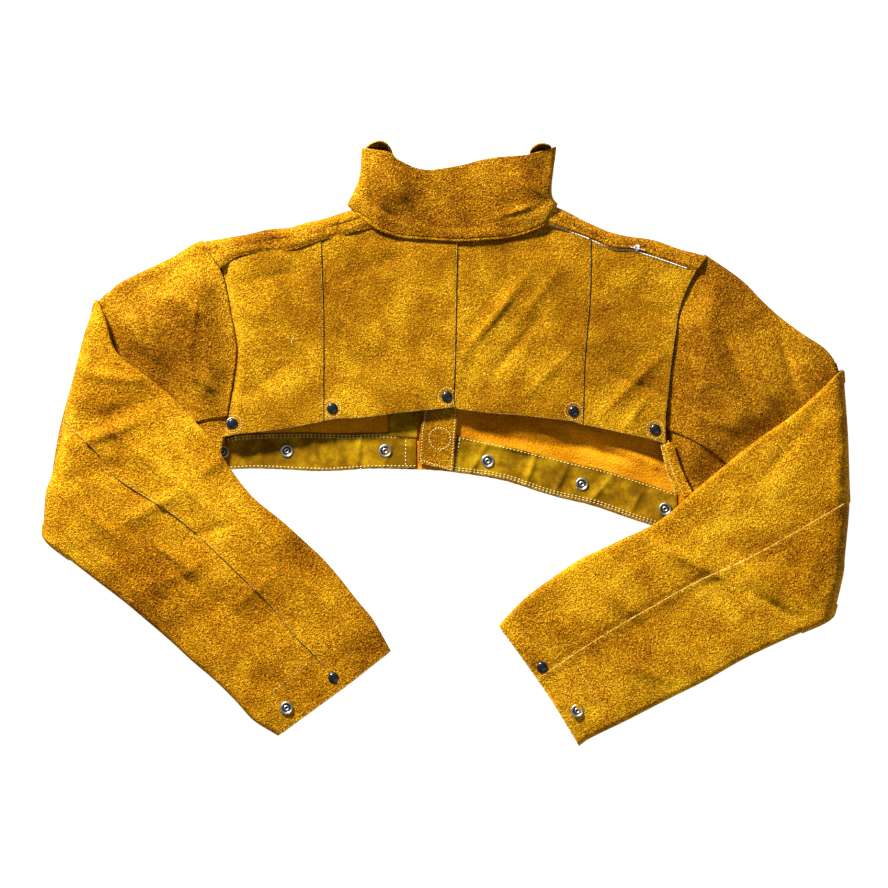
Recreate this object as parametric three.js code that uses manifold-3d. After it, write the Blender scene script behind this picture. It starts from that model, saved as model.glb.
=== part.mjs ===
// A cropped leather welding jacket (sleeves joined by a short yoke), laid flat with its back up,
// its collar pointing to +Y and both forearms folded over at the elbow.
// Millimetres, +Z up, origin at the centre of its footprint on the surface it lies on.
import * as THREE from 'three';
import { mergeVertices } from 'three/addons/utils/BufferGeometryUtils.js';
import Module from 'manifold-3d';

const wasm = await Module();
wasm.setup();

// ---- Driving dimensions -------------------------------------------------------------------
const LEATHER = 1.4;            // split cowhide of the panels
const FACING = 1.0;             // smooth leather of the hem bands and the placket facing
const CLEARANCE = 0.3;          // between pieces that lie on each other
const SEAM_GAP = 0.7;           // between panels that are sewn edge to edge

const BODY_DEPTH = 22;          // back's outer face above the surface
const FOREARM_DEPTH = 16;       // a folded forearm, flattened
const FOLD_GAP = 0.6;           // between an arm and the forearm lying on it

const CENTRE_X = 14;            // centre back seam
const SHOULDER_HALF = 285;      // centre back seam to the armhole, at the shoulder
const BACK_HEM_HALF_LEFT = SHOULDER_HALF - 2;     // centre back seam to the armhole, at the hem
const BACK_HEM_HALF_RIGHT = SHOULDER_HALF - 35;
const BACK_LENGTH = 200;        // neck seam to the peak of the back hem
const NECK_Y = 243;             // neck seam at the centre back
const COLLAR_HALF = 129;        // half of the neck seam's width
const COLLAR_RISE = 36;         // how far the neck seam climbs at the collar's ends
const COLLAR_HEIGHT = 88;       // at the centre back

const BAND_HEIGHT = 43;         // front hem facing
const PLACKET_WIDTH = 38;       // the front closure's tab and facing
const HEM_RAMP = 20;            // the front panel settles from the snaps to the surface

const CAP_DIAMETER = 12.5;      // snap fastener, size 24
const CAP_HEIGHT = 2.5;
const RING_DIAMETER = 15;
const RING_HEIGHT = 2.1;
const RING_MOUTH = 8.4;         // recess inside the ring
const POST_DIAMETER = 4;
const RING_FLOOR = 0.8;         // thickness of the ring's plate, under its mouth
const POST_END = 0.5;           // how far a post reaches beyond the leather it holds
const SNAP_SIDES = 12;

const CUFF_CAP_SHARE = 0.415;   // across the cuff, from its inner edge
const CUFF_STUD_SHARE = 0.79;
const CUFF_CAP_INSET = 17.5;    // up the sleeve, from the cuff's edge
const CUFF_STUD_INSET = 27.5;
const CUFF_SEAM_SHARE = 0.465;
const CREASE_SEAM_SHARE = 0.52;

// ---- Small sums ---------------------------------------------------------------------------
const EDGE = SEAM_GAP / 2;
const HOLE_RADIUS = POST_DIAMETER / 2 + CLEARANCE;
const mix = (a, b, t) => a + (b - a) * t;
const steps = (from, to, count) => Array.from({ length: count + 1 }, (_, i) => mix(from, to, i / count));
const ramp = (value, from, to) => THREE.MathUtils.clamp((value - from) / (to - from), 0, 1);

// ---- Materials ----------------------------------------------------------------------------
const suede = new THREE.MeshStandardMaterial({ color: 0xb8780c, roughness: 0.95 });
const smoothLeather = new THREE.MeshStandardMaterial({ color: 0x96700e, roughness: 0.6 });
const blackCap = new THREE.MeshStandardMaterial({ color: 0x16181c, roughness: 0.35, metalness: 0.4 });
const nickel = new THREE.MeshStandardMaterial({ color: 0xb9bbb8, roughness: 0.3, metalness: 1 });

const jacket = new THREE.Group();

function addPiece(name, geometry, material) {
  const mesh = new THREE.Mesh(geometry, material);
  mesh.name = name;
  jacket.add(mesh);
  return mesh;
}

// ---- Solids -------------------------------------------------------------------------------
function merged(geometry) {
  const bare = geometry.clone();
  for (const name of Object.keys(bare.attributes)) {
    if (name !== 'position') bare.deleteAttribute(name);
  }
  return mergeVertices(bare, 1e-4);
}

function signedVolume(geometry) {
  const p = geometry.attributes.position;
  const [a, b, c] = [0, 1, 2].map(() => new THREE.Vector3());
  let sum = 0;
  for (let i = 0; i < geometry.index.count; i += 3) {
    a.fromBufferAttribute(p, geometry.index.getX(i));
    b.fromBufferAttribute(p, geometry.index.getX(i + 1));
    c.fromBufferAttribute(p, geometry.index.getX(i + 2));
    sum += a.dot(b.clone().cross(c)) / 6;
  }
  return sum;
}

function facedOut(geometry) {
  const solid = merged(geometry);
  if (signedVolume(solid) < 0) solid.setIndex([...solid.index.array].reverse());
  return solid;
}

// A leather sheet: point(u, v) runs over its middle surface, and the sheet is given its
// thickness along that surface's own normal.
function sheet(point, us, vs, thickness) {
  const columns = us.length;
  const rows = vs.length;
  const middle = vs.map((v) => us.map((u) => point(u, v)));
  const clampTo = (i, n) => Math.min(Math.max(i, 0), n - 1);
  const at = (i, j) => middle[clampTo(j, rows)][clampTo(i, columns)];
  const positions = [];
  for (const side of [0.5, -0.5]) {
    for (let j = 0; j < rows; j += 1) {
      for (let i = 0; i < columns; i += 1) {
        const along = at(i + 1, j).clone().sub(at(i - 1, j));
        const down = at(i, j + 1).clone().sub(at(i, j - 1));
        const normal = along.cross(down).normalize();
        positions.push(...at(i, j).clone().addScaledVector(normal, side * thickness).toArray());
      }
    }
  }
  const index = [];
  const quad = (a, b, c, d) => index.push(a, b, c, a, c, d);
  const under = columns * rows;
  const id = (i, j) => j * columns + i;
  for (let j = 0; j + 1 < rows; j += 1) {
    for (let i = 0; i + 1 < columns; i += 1) {
      const corners = [id(i, j), id(i + 1, j), id(i + 1, j + 1), id(i, j + 1)];
      quad(...corners);
      quad(...corners.reverse().map((k) => k + under));
    }
  }
  const rim = [];
  for (let i = 0; i + 1 < columns; i += 1) rim.push(id(i, 0));
  for (let j = 0; j + 1 < rows; j += 1) rim.push(id(columns - 1, j));
  for (let i = columns - 1; i > 0; i -= 1) rim.push(id(i, rows - 1));
  for (let j = rows - 1; j > 0; j -= 1) rim.push(id(0, j));
  rim.forEach((a, k) => {
    const b = rim[(k + 1) % rim.length];
    quad(b, a, a + under, b + under);
  });
  const geometry = new THREE.BufferGeometry();
  geometry.setAttribute('position', new THREE.Float32BufferAttribute(positions, 3));
  geometry.setIndex(index);
  return facedOut(geometry);
}

function toManifold(geometry) {
  const solid = merged(geometry);
  return new wasm.Manifold(new wasm.Mesh({
    numProp: 3,
    vertProperties: new Float32Array(solid.attributes.position.array),
    triVerts: new Uint32Array(solid.index.array),
  }));
}

// Punches round holes for snap barrels through the sheet, at the heights where it lies.
function punched(geometry, holes) {
  let solid = toManifold(geometry);
  for (const { x, y, z } of holes) {
    const tool = new THREE.CylinderGeometry(HOLE_RADIUS, HOLE_RADIUS, 4 * LEATHER, SNAP_SIDES);
    tool.rotateX(Math.PI / 2).translate(x, y, z);
    solid = solid.subtract(toManifold(tool));
  }
  const mesh = solid.getMesh();
  const result = new THREE.BufferGeometry();
  result.setAttribute('position', new THREE.Float32BufferAttribute(mesh.vertProperties, 3));
  result.setIndex([...mesh.triVerts]);
  return facedOut(result);
}


// ---- Snap fasteners -----------------------------------------------------------------------
// Each is made with its outer face up, on leather that lies from -stack to 0.
function capWithBarrel(stack) {
  const radius = CAP_DIAMETER / 2;
  const barrel = POST_DIAMETER / 2;
  const end = -(stack + 2 * CLEARANCE + POST_END);
  const foot = CLEARANCE;
  const profile = [
    [0, CAP_HEIGHT], [radius * 0.72, foot + CAP_HEIGHT * 0.72], [radius, foot + CAP_HEIGHT * 0.28],
    [radius, foot], [barrel, foot], [barrel, end], [0, end],
  ];
  return lathe(profile);
}

function ring() {
  const outer = RING_DIAMETER / 2;
  const mouth = RING_MOUTH / 2;
  const profile = [
    [HOLE_RADIUS, 0], [outer, 0], [outer, RING_HEIGHT * 0.55], [mix(outer, mouth, 0.36), RING_HEIGHT],
    [mouth, RING_HEIGHT], [mouth, RING_FLOOR], [HOLE_RADIUS, RING_FLOOR], [HOLE_RADIUS, 0],
  ];
  return lathe(profile);
}

function lathe(profile) {
  const points = profile.map(([r, h]) => new THREE.Vector2(r, h));
  return facedOut(new THREE.LatheGeometry(points, SNAP_SIDES).rotateX(Math.PI / 2));
}

// A cap on the outer face and a ring on the inner face of a stack of leather.
// outerZ and innerZ are the heights of those two faces.
function snapPair(capName, ringName, { x, y, outerZ, innerZ }) {
  const up = outerZ > innerZ;
  const cap = capWithBarrel(Math.abs(outerZ - innerZ));
  const socket = ring();
  if (!up) cap.rotateX(Math.PI);
  if (up) socket.rotateX(Math.PI);
  addPiece(capName, cap, blackCap).position.set(x, y, outerZ);
  const seat = up ? innerZ - CLEARANCE : innerZ + CLEARANCE;
  addPiece(ringName, socket, nickel).position.set(x, y, seat);
}

// ---- Body outlines ------------------------------------------------------------------------
// The armholes bow inwards between the shoulder and the hem, and the hem bows between its ends.
const ARMHOLE_BOW = { left: 14, right: 10 };
const HEM_BOW = { left: 4, right: 6 };
const HEM_DROP = { left: 36, right: 44 };   // hem's peak at the centre to its ends
const bow = (depth, t) => 4 * depth * t * (1 - t);
const back = {
  left: (v) => CENTRE_X - mix(SHOULDER_HALF - 2, BACK_HEM_HALF_LEFT, v) + bow(ARMHOLE_BOW.left, v),
  leftSeam: (v) => CENTRE_X - mix(164, 160, v),
  centreSeam: (v) => CENTRE_X - 3 * v,
  rightSeam: (v) => CENTRE_X + mix(159, 148, v),
  right: (v) => CENTRE_X + mix(SHOULDER_HALF + 2, BACK_HEM_HALF_RIGHT, v) - bow(ARMHOLE_BOW.right, v),
};
const SHOULDER_DROP = 54;         // neck point to armhole, down the shoulder seam
const NECK_HALF = 110;            // where the shoulder seam meets the neck seam

const neckLine = (x) => NECK_Y + COLLAR_RISE * Math.abs((x - CENTRE_X) / COLLAR_HALF) ** 3.4;
const NECK_POINT_Y = neckLine(CENTRE_X + NECK_HALF);

function backTop(x) {
  const out = Math.abs(x - CENTRE_X) - NECK_HALF;
  if (out <= 0) return neckLine(x);
  return NECK_POINT_Y - SHOULDER_DROP * (out / (SHOULDER_HALF - NECK_HALF));
}

function backHem(x) {
  const half = x > CENTRE_X ? 'right' : 'left';
  const t = (x - CENTRE_X) / (half === 'right' ? BACK_HEM_HALF_RIGHT : -BACK_HEM_HALF_LEFT);
  return NECK_Y - BACK_LENGTH - HEM_DROP[half] * t + bow(HEM_BOW[half], t);
}

const BACK_MIDDLE_Z = BODY_DEPTH - LEATHER / 2;

// ---- Back ---------------------------------------------------------------------------------
const SNAP_INSET = 13;          // snap's middle up from the back hem, and in from the armhole
const SNAP_BESIDE_SEAM = 10;
const backSnaps = [
  { x: CENTRE_X - BACK_HEM_HALF_LEFT + SNAP_INSET, panel: 'back_side_left' },
  { x: back.leftSeam(0.9) + SNAP_BESIDE_SEAM, panel: 'back_centre_left' },
  { x: back.centreSeam(0.9) - SNAP_BESIDE_SEAM, panel: 'back_centre_left' },
  { x: back.rightSeam(0.9) - SNAP_BESIDE_SEAM, panel: 'back_centre_right' },
  { x: CENTRE_X + BACK_HEM_HALF_RIGHT - SNAP_INSET, panel: 'back_side_right' },
].map(({ x, panel }) => ({ x, y: backHem(x) + SNAP_INSET, z: BACK_MIDDLE_Z, panel }));

const shareAt = (x, from, to) => (x - from) / (to - from);
const neckCornerLeft = shareAt(CENTRE_X - NECK_HALF, back.leftSeam(0), back.centreSeam(0));
const neckCornerRight = shareAt(CENTRE_X + NECK_HALF, back.centreSeam(0), back.rightSeam(0));

const ROWS = steps(0, 1, 5);    // stops down each panel, the same as down each front
function backPanel(name, leftEdge, rightEdge, us) {
  const point = (u, v) => {
    const x = mix(leftEdge(v) + EDGE, rightEdge(v) - EDGE, u);
    const y = mix(backTop(x) - EDGE, backHem(x), v);
    return new THREE.Vector3(x, y, BACK_MIDDLE_Z);
  };
  const holes = backSnaps.filter((snap) => snap.panel === name);
  addPiece(name, punched(sheet(point, us, ROWS, LEATHER), holes), suede);
}
backPanel('back_side_left', back.left, back.leftSeam, steps(0, 1, 3));
backPanel('back_centre_left', back.leftSeam, back.centreSeam,
  [0, ...steps(neckCornerLeft, 1, 6)]);
backPanel('back_centre_right', back.centreSeam, back.rightSeam,
  [...steps(0, neckCornerRight, 6), 1]);
backPanel('back_side_right', back.rightSeam, back.right, steps(0, 1, 3));

backSnaps.forEach(({ x, y }, i) => {
  snapPair(`back_cap_${i + 1}`, `back_socket_${i + 1}`, {
    x, y, outerZ: BODY_DEPTH, innerZ: BODY_DEPTH - LEATHER,
  });
});

// ---- Front --------------------------------------------------------------------------------
// The two fronts lie on the surface, outer face down. They rise over the caps along the hem,
// and the right front's edge lies over the left front's flap where the closure snaps hold them.
const FRONT_HALF = SHOULDER_HALF + 16;  // centre to the side seam
const SIDE_LEAN = { left: 1, right: 27 };   // how far each side seam leans in down to the hem
const TAB_LEFT = CENTRE_X - 44;
const TAB_RIGHT = TAB_LEFT + PLACKET_WIDTH;
const FLAP_EDGE = TAB_RIGHT - 4;
const YOKE_DROP = 68;                   // neck point to the yoke's front seam at the armhole
const HEM_LEFT_Y = -33;
const HEM_SLOPE = 0.27;                 // the right front's hem runs down to its side
const BAND_MARGIN = 8;                  // the raised part of a front reaches this far past its band
const CAP_LIFT = CAP_HEIGHT + CLEARANCE;
const OVERLAP_LIFT = CAP_LIFT + LEATHER + CLEARANCE + RING_HEIGHT + CLEARANCE;

const frontSide = {
  left: (v) => CENTRE_X - mix(FRONT_HALF + 2, FRONT_HALF - SIDE_LEAN.left, v),
  right: (v) => CENTRE_X + mix(FRONT_HALF - 4, FRONT_HALF - SIDE_LEAN.right, v),
};
function frontTop(x) {
  const out = Math.abs(x - CENTRE_X) - NECK_HALF;
  if (out <= 0) return neckLine(x);
  return NECK_POINT_Y - YOKE_DROP * (out / (FRONT_HALF - NECK_HALF));
}
const frontHem = (x) => HEM_LEFT_Y - HEM_SLOPE * Math.max(x - TAB_RIGHT, 0);
const bandTop = (x) => frontHem(x) + BAND_HEIGHT;

const rampFoot = (x) => bandTop(x) + BAND_MARGIN;
const rampTop = (x) => rampFoot(x) + HEM_RAMP;
const hemLift = (x, y) => CAP_LIFT * ramp(y, rampTop(x), rampFoot(x));
const FLAP_RAMP = { from: TAB_LEFT - 30, to: TAB_LEFT - 12 };
const OVERLAP_RAMP = { from: TAB_RIGHT + 22, to: TAB_RIGHT + 4 };
const leftLift = (x, y) => Math.max(hemLift(x, y), CAP_LIFT * ramp(x, FLAP_RAMP.from, FLAP_RAMP.to));
const overlapLift = (x) => OVERLAP_LIFT * ramp(x, OVERLAP_RAMP.from, OVERLAP_RAMP.to);
const rightLift = (x, y) => Math.max(hemLift(x, y), overlapLift(x));

// Across the hem from the left side; the outer two keep their distance from the side seams.
const hemSnaps = [
  { x: CENTRE_X - FRONT_HALF + 19, rise: 22 }, { x: CENTRE_X - 205, rise: 23 },
  { x: CENTRE_X - 87, rise: 23 }, { x: CENTRE_X + 36, rise: 22 },
  { x: CENTRE_X + 149, rise: 25 }, { x: CENTRE_X + FRONT_HALF - 52, rise: 22 },
].map(({ x, rise }) => ({ x, y: frontHem(x) + rise, z: CAP_LIFT + LEATHER / 2 }));
const CLOSURE_X = (TAB_LEFT + FLAP_EDGE) / 2 + 2;
const closures = [4, 130].map((y) => ({ x: CLOSURE_X, y }));
const closureHoles = (z) => closures.map(({ x, y }) => ({ x, y, z }));

// Rows down a front: the top edge, then the ends of the ramp over the hem, then the hem.
function frontPoint(lift, leftEdge, rightEdge) {
  return (u, v) => {
    const x = mix(leftEdge(v), rightEdge(v), u);
    const top = frontTop(x) - EDGE;
    const flatEnd = rampTop(x);
    const rows = [top, mix(top, flatEnd, 0.35), mix(top, flatEnd, 0.7), flatEnd, rampFoot(x), frontHem(x)];
    const y = rows[Math.round(v * (rows.length - 1))];
    return new THREE.Vector3(x, y, lift(x, y) + LEATHER / 2);
  };
}

const leftShare = (x, v) => shareAt(x, frontSide.left(v), FLAP_EDGE);
const leftStops = [0, 0.3, 0.55, leftShare(CENTRE_X - NECK_HALF, 0),
  leftShare(FLAP_RAMP.from - 4, 0.5), leftShare(FLAP_RAMP.to + 3, 0.5), 1];
const leftPoint = frontPoint(leftLift, (v) => frontSide.left(v) + EDGE, () => FLAP_EDGE);
addPiece('front_left', punched(sheet(leftPoint, leftStops, ROWS, LEATHER), [
  ...hemSnaps.filter(({ x }) => x < CENTRE_X),
  ...closureHoles(CAP_LIFT + LEATHER / 2),
]), suede);

const rightShare = (x, v) => shareAt(x, TAB_LEFT, frontSide.right(v));
const rightStops = [0, rightShare(OVERLAP_RAMP.to - 2, 0.5),
  ...steps(rightShare(OVERLAP_RAMP.from + 4, 0.5), rightShare(CENTRE_X + NECK_HALF, 0), 5), 0.7, 1];
const rightPoint = frontPoint(rightLift, () => TAB_LEFT, (v) => frontSide.right(v) - EDGE);
addPiece('front_right', punched(sheet(rightPoint, rightStops, ROWS, LEATHER), [
  ...hemSnaps.filter(({ x }) => x > CENTRE_X),
  ...closureHoles(OVERLAP_LIFT + LEATHER / 2),
]), suede);

// Hem bands of smooth leather, on the inner face of each front.
function hemBand(name, lift, from, to) {
  const rise = LEATHER + CLEARANCE + FACING / 2;
  const point = (u, v) => {
    const x = mix(from, to, u);
    const y = mix(bandTop(x), frontHem(x) + 1, v);
    return new THREE.Vector3(x, y, lift(x, y) + rise);
  };
  const under = hemSnaps.filter(({ x }) => x > from && x < to);
  const holes = under.map(({ x, y, z }) => ({ x, y, z: z + rise }));
  addPiece(name, punched(sheet(point, [0, 0.5, 1], [0, 1], FACING), holes), smoothLeather);
}
hemBand('hem_band_left', leftLift, frontSide.left(1) + 3, FLAP_RAMP.to - 4);
hemBand('hem_band_right', () => CAP_LIFT, OVERLAP_RAMP.from + 2, frontSide.right(1) - 3);

hemSnaps.forEach(({ x, y }, i) => {
  snapPair(`hem_cap_${i + 1}`, `hem_socket_${i + 1}`, {
    x, y, outerZ: CAP_LIFT, innerZ: CAP_LIFT + LEATHER + CLEARANCE + FACING,
  });
});

// The placket: a facing along the left front's edge, and the right front's stitched tab.
const FACING_INSET = 12;        // the facing and the tab start this far below the neck seam
const FACING_Z = CAP_LIFT + LEATHER + CLEARANCE + FACING / 2 + 0.2;
const facingPoint = (u, v) => {
  const x = mix(TAB_LEFT - PLACKET_WIDTH, FLAP_RAMP.to, u);
  return new THREE.Vector3(x, mix(frontTop(x) - FACING_INSET, bandTop(x) + 1, v), FACING_Z);
};
addPiece('placket_facing', sheet(facingPoint, [0, 1], [0, 1], FACING), smoothLeather);

const TAB_Z = OVERLAP_LIFT + LEATHER + CLEARANCE + RING_HEIGHT * 0.6 + CLEARANCE + LEATHER / 2;
const tabPoint = (u, v) => {
  const y = mix(neckLine(CENTRE_X) - FACING_INSET, frontHem(TAB_LEFT) - 1, v);
  return new THREE.Vector3(mix(TAB_LEFT, TAB_RIGHT, u), y, TAB_Z);
};
addPiece('placket_tab', sheet(tabPoint, [0, 1], [0, 1], LEATHER), suede);

closures.forEach(({ x, y }, i) => {
  const cap = capWithBarrel(LEATHER).rotateX(Math.PI);
  addPiece(`closure_cap_${i + 1}`, cap, blackCap).position.set(x, y, CAP_LIFT);
  const socketSeat = CAP_LIFT + LEATHER + CLEARANCE;
  addPiece(`closure_socket_${i + 1}`, ring(), nickel).position.set(x, y, socketSeat);
  // The stud hangs from the right front's edge and its head sits in the socket's mouth.
  const head = HOLE_RADIUS + 0.9;
  const backing = OVERLAP_LIFT + LEATHER + CLEARANCE;
  const headTop = OVERLAP_LIFT - CLEARANCE;
  const post = POST_DIAMETER / 2;
  const plate = RING_MOUTH / 2;
  const stud = lathe([
    [0, backing + 0.9], [plate, backing + 0.9], [plate, backing], [post, backing],
    [post, headTop], [head, headTop - 0.3], [head, headTop - 1], [0, headTop - 1],
  ]);
  addPiece(`closure_stud_${i + 1}`, stud, nickel).position.set(x, y, 0);
});

// ---- Shoulder yokes -----------------------------------------------------------------------
// Each runs from the back's shoulder seam over the ridge and a little way down the front.
const NECK_RIDGE = { out: 20, rise: 15 };      // ridge beyond the shoulder seam
const ARM_RIDGE = { left: { out: 20, rise: 28 }, right: { out: 12, rise: 16 } };
const BEND = (BODY_DEPTH - LEATHER) / 2;
const BEND_STEPS = 5;
const NECK_MARGIN = 1.5;                      // beside the collar's seam
const YOKE_LENGTH = SHOULDER_HALF - NECK_HALF;

function yoke(label, side) {
  const at = (out, y) => new THREE.Vector2(CENTRE_X + side * out, y);
  const armholeTop = at(SHOULDER_HALF, backTop(CENTRE_X + SHOULDER_HALF));
  const neck = {
    seam: at(NECK_HALF + NECK_MARGIN, NECK_POINT_Y - 1),
    ridge: at(NECK_HALF + NECK_MARGIN + NECK_RIDGE.out, NECK_POINT_Y + NECK_RIDGE.rise),
    front: at(NECK_HALF + NECK_MARGIN, NECK_POINT_Y - 1),
  };
  const arm = {
    seam: armholeTop,
    ridge: armholeTop.clone().add(new THREE.Vector2(side * ARM_RIDGE[label].out, ARM_RIDGE[label].rise)),
    front: new THREE.Vector2(frontSide[label](0) - side, frontTop(frontSide[label](0) - side)),
  };
  const point = (u, v) => {
    const along = mix(EDGE / YOKE_LENGTH, 1 - 5 * EDGE / YOKE_LENGTH, u);
    const seam = neck.seam.clone().lerp(arm.seam, along);
    const ridge = neck.ridge.clone().lerp(arm.ridge, along);
    const front = neck.front.clone().lerp(arm.front, along);
    const outward = ridge.clone().sub(seam).normalize();
    const row = Math.round(v * (BEND_STEPS + 2));
    if (row === 0) {
      const start = seam.addScaledVector(outward, EDGE);
      return new THREE.Vector3(start.x, start.y + EDGE, BACK_MIDDLE_Z);
    }
    if (row === BEND_STEPS + 2) return new THREE.Vector3(front.x, front.y + 2 * EDGE, LEATHER / 2);
    const angle = Math.PI * ((row - 1) / BEND_STEPS);
    const spot = ridge.addScaledVector(outward, BEND * (Math.sin(angle) - 1));
    return new THREE.Vector3(spot.x, spot.y, LEATHER / 2 + BEND * (1 + Math.cos(angle)));
  };
  addPiece(`yoke_${label}`, sheet(point, [0, 0.5, 1], steps(0, 1, BEND_STEPS + 2), LEATHER), suede);
}
yoke('left', -1);
yoke('right', 1);

// ---- Flattened tubes ----------------------------------------------------------------------
// A loop of leather lying flat between two edges, as the arms, forearms and collar do.
// turn 0..1 runs over its upper face, 1..2 round the far edge, 2..3 back under its lower face
// and 3..4 round the near edge. upper(d) and lower(d) give the two faces' lines on the plan.
function flatLoop({ upper, lower, length, floor, depth }) {
  const middle = depth - LEATHER;
  const bend = middle / 2 / length;
  return (turn) => {
    const t = ((turn % 4) + 4) % 4;
    const angle = Math.PI * (t % 1);
    const inset = bend * (1 - Math.sin(angle));
    let d;
    let under;
    if (t < 1) [d, under] = [mix(bend, 1 - bend, t), 0];
    else if (t < 2) [d, under] = [1 - inset, (1 - Math.cos(angle)) / 2];
    else if (t < 3) [d, under] = [mix(1 - bend, bend, t - 2), 1];
    else [d, under] = [inset, (1 + Math.cos(angle)) / 2];
    const spot = upper(d).lerp(lower(d), under);
    return new THREE.Vector3(spot.x, spot.y, floor + LEATHER / 2 + middle * (1 - under));
  };
}
const tube = (from, to) => (turn, s) => from(turn).lerp(to(turn), s);
const curve = (points) => {
  const spline = new THREE.SplineCurve(points.map(([x, y]) => new THREE.Vector2(x, y)));
  return (d) => spline.getPointAt(THREE.MathUtils.clamp(d, 0, 1));
};
const polyline = (points) => {
  const path = new THREE.CurvePath();
  for (let i = 0; i + 1 < points.length; i += 1) path.add(new THREE.LineCurve(points[i], points[i + 1]));
  return (d) => path.getPointAt(THREE.MathUtils.clamp(d, 0, 1));
};
const straight = (a, b) => (d) => new THREE.Vector2(mix(a[0], b[0], d), mix(a[1], b[1], d));
const distance = (a, b) => Math.hypot(b[0] - a[0], b[1] - a[1]);

// ---- Arms ---------------------------------------------------------------------------------
// Where each arm lies: its silhouette's corners as steps from the corner before them.
const ARMS = {
  left: {
    side: -1,
    elbowTop: [-134, -66], elbowBottom: [-62, -294],
    cuffInner: [358, -423], cuffOuter: [-137, -102],
    underarm: [-1, -34], gussetShare: 0.29,
  },
  right: {
    side: 1,
    elbowTop: [171, -146], elbowBottom: [-9, -283],
    cuffInner: [-421, -299], cuffOuter: [98, -142],
    underarm: [26, -71], gussetShare: 0.36,
  },
};
const ROOT_WIDTH = 230;          // mean length of an arm's face where it joins the body
const ROOT_EDGE = 32;            // length of the loop round one of its edges
const CREASE_WIDTH = 200;        // mean distance of the crease from the root
const GUSSET_END = 0.72;         // share of the arm's length at which the gusset ends
const ARMHOLE_GAP = 1.4 * SEAM_GAP;
const step = (from, by) => [from[0] + by[0], from[1] + by[1]];
const LAYER_BASE = BODY_DEPTH + FOLD_GAP;
const ARM_STATIONS = steps(0, 1, 5);

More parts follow.
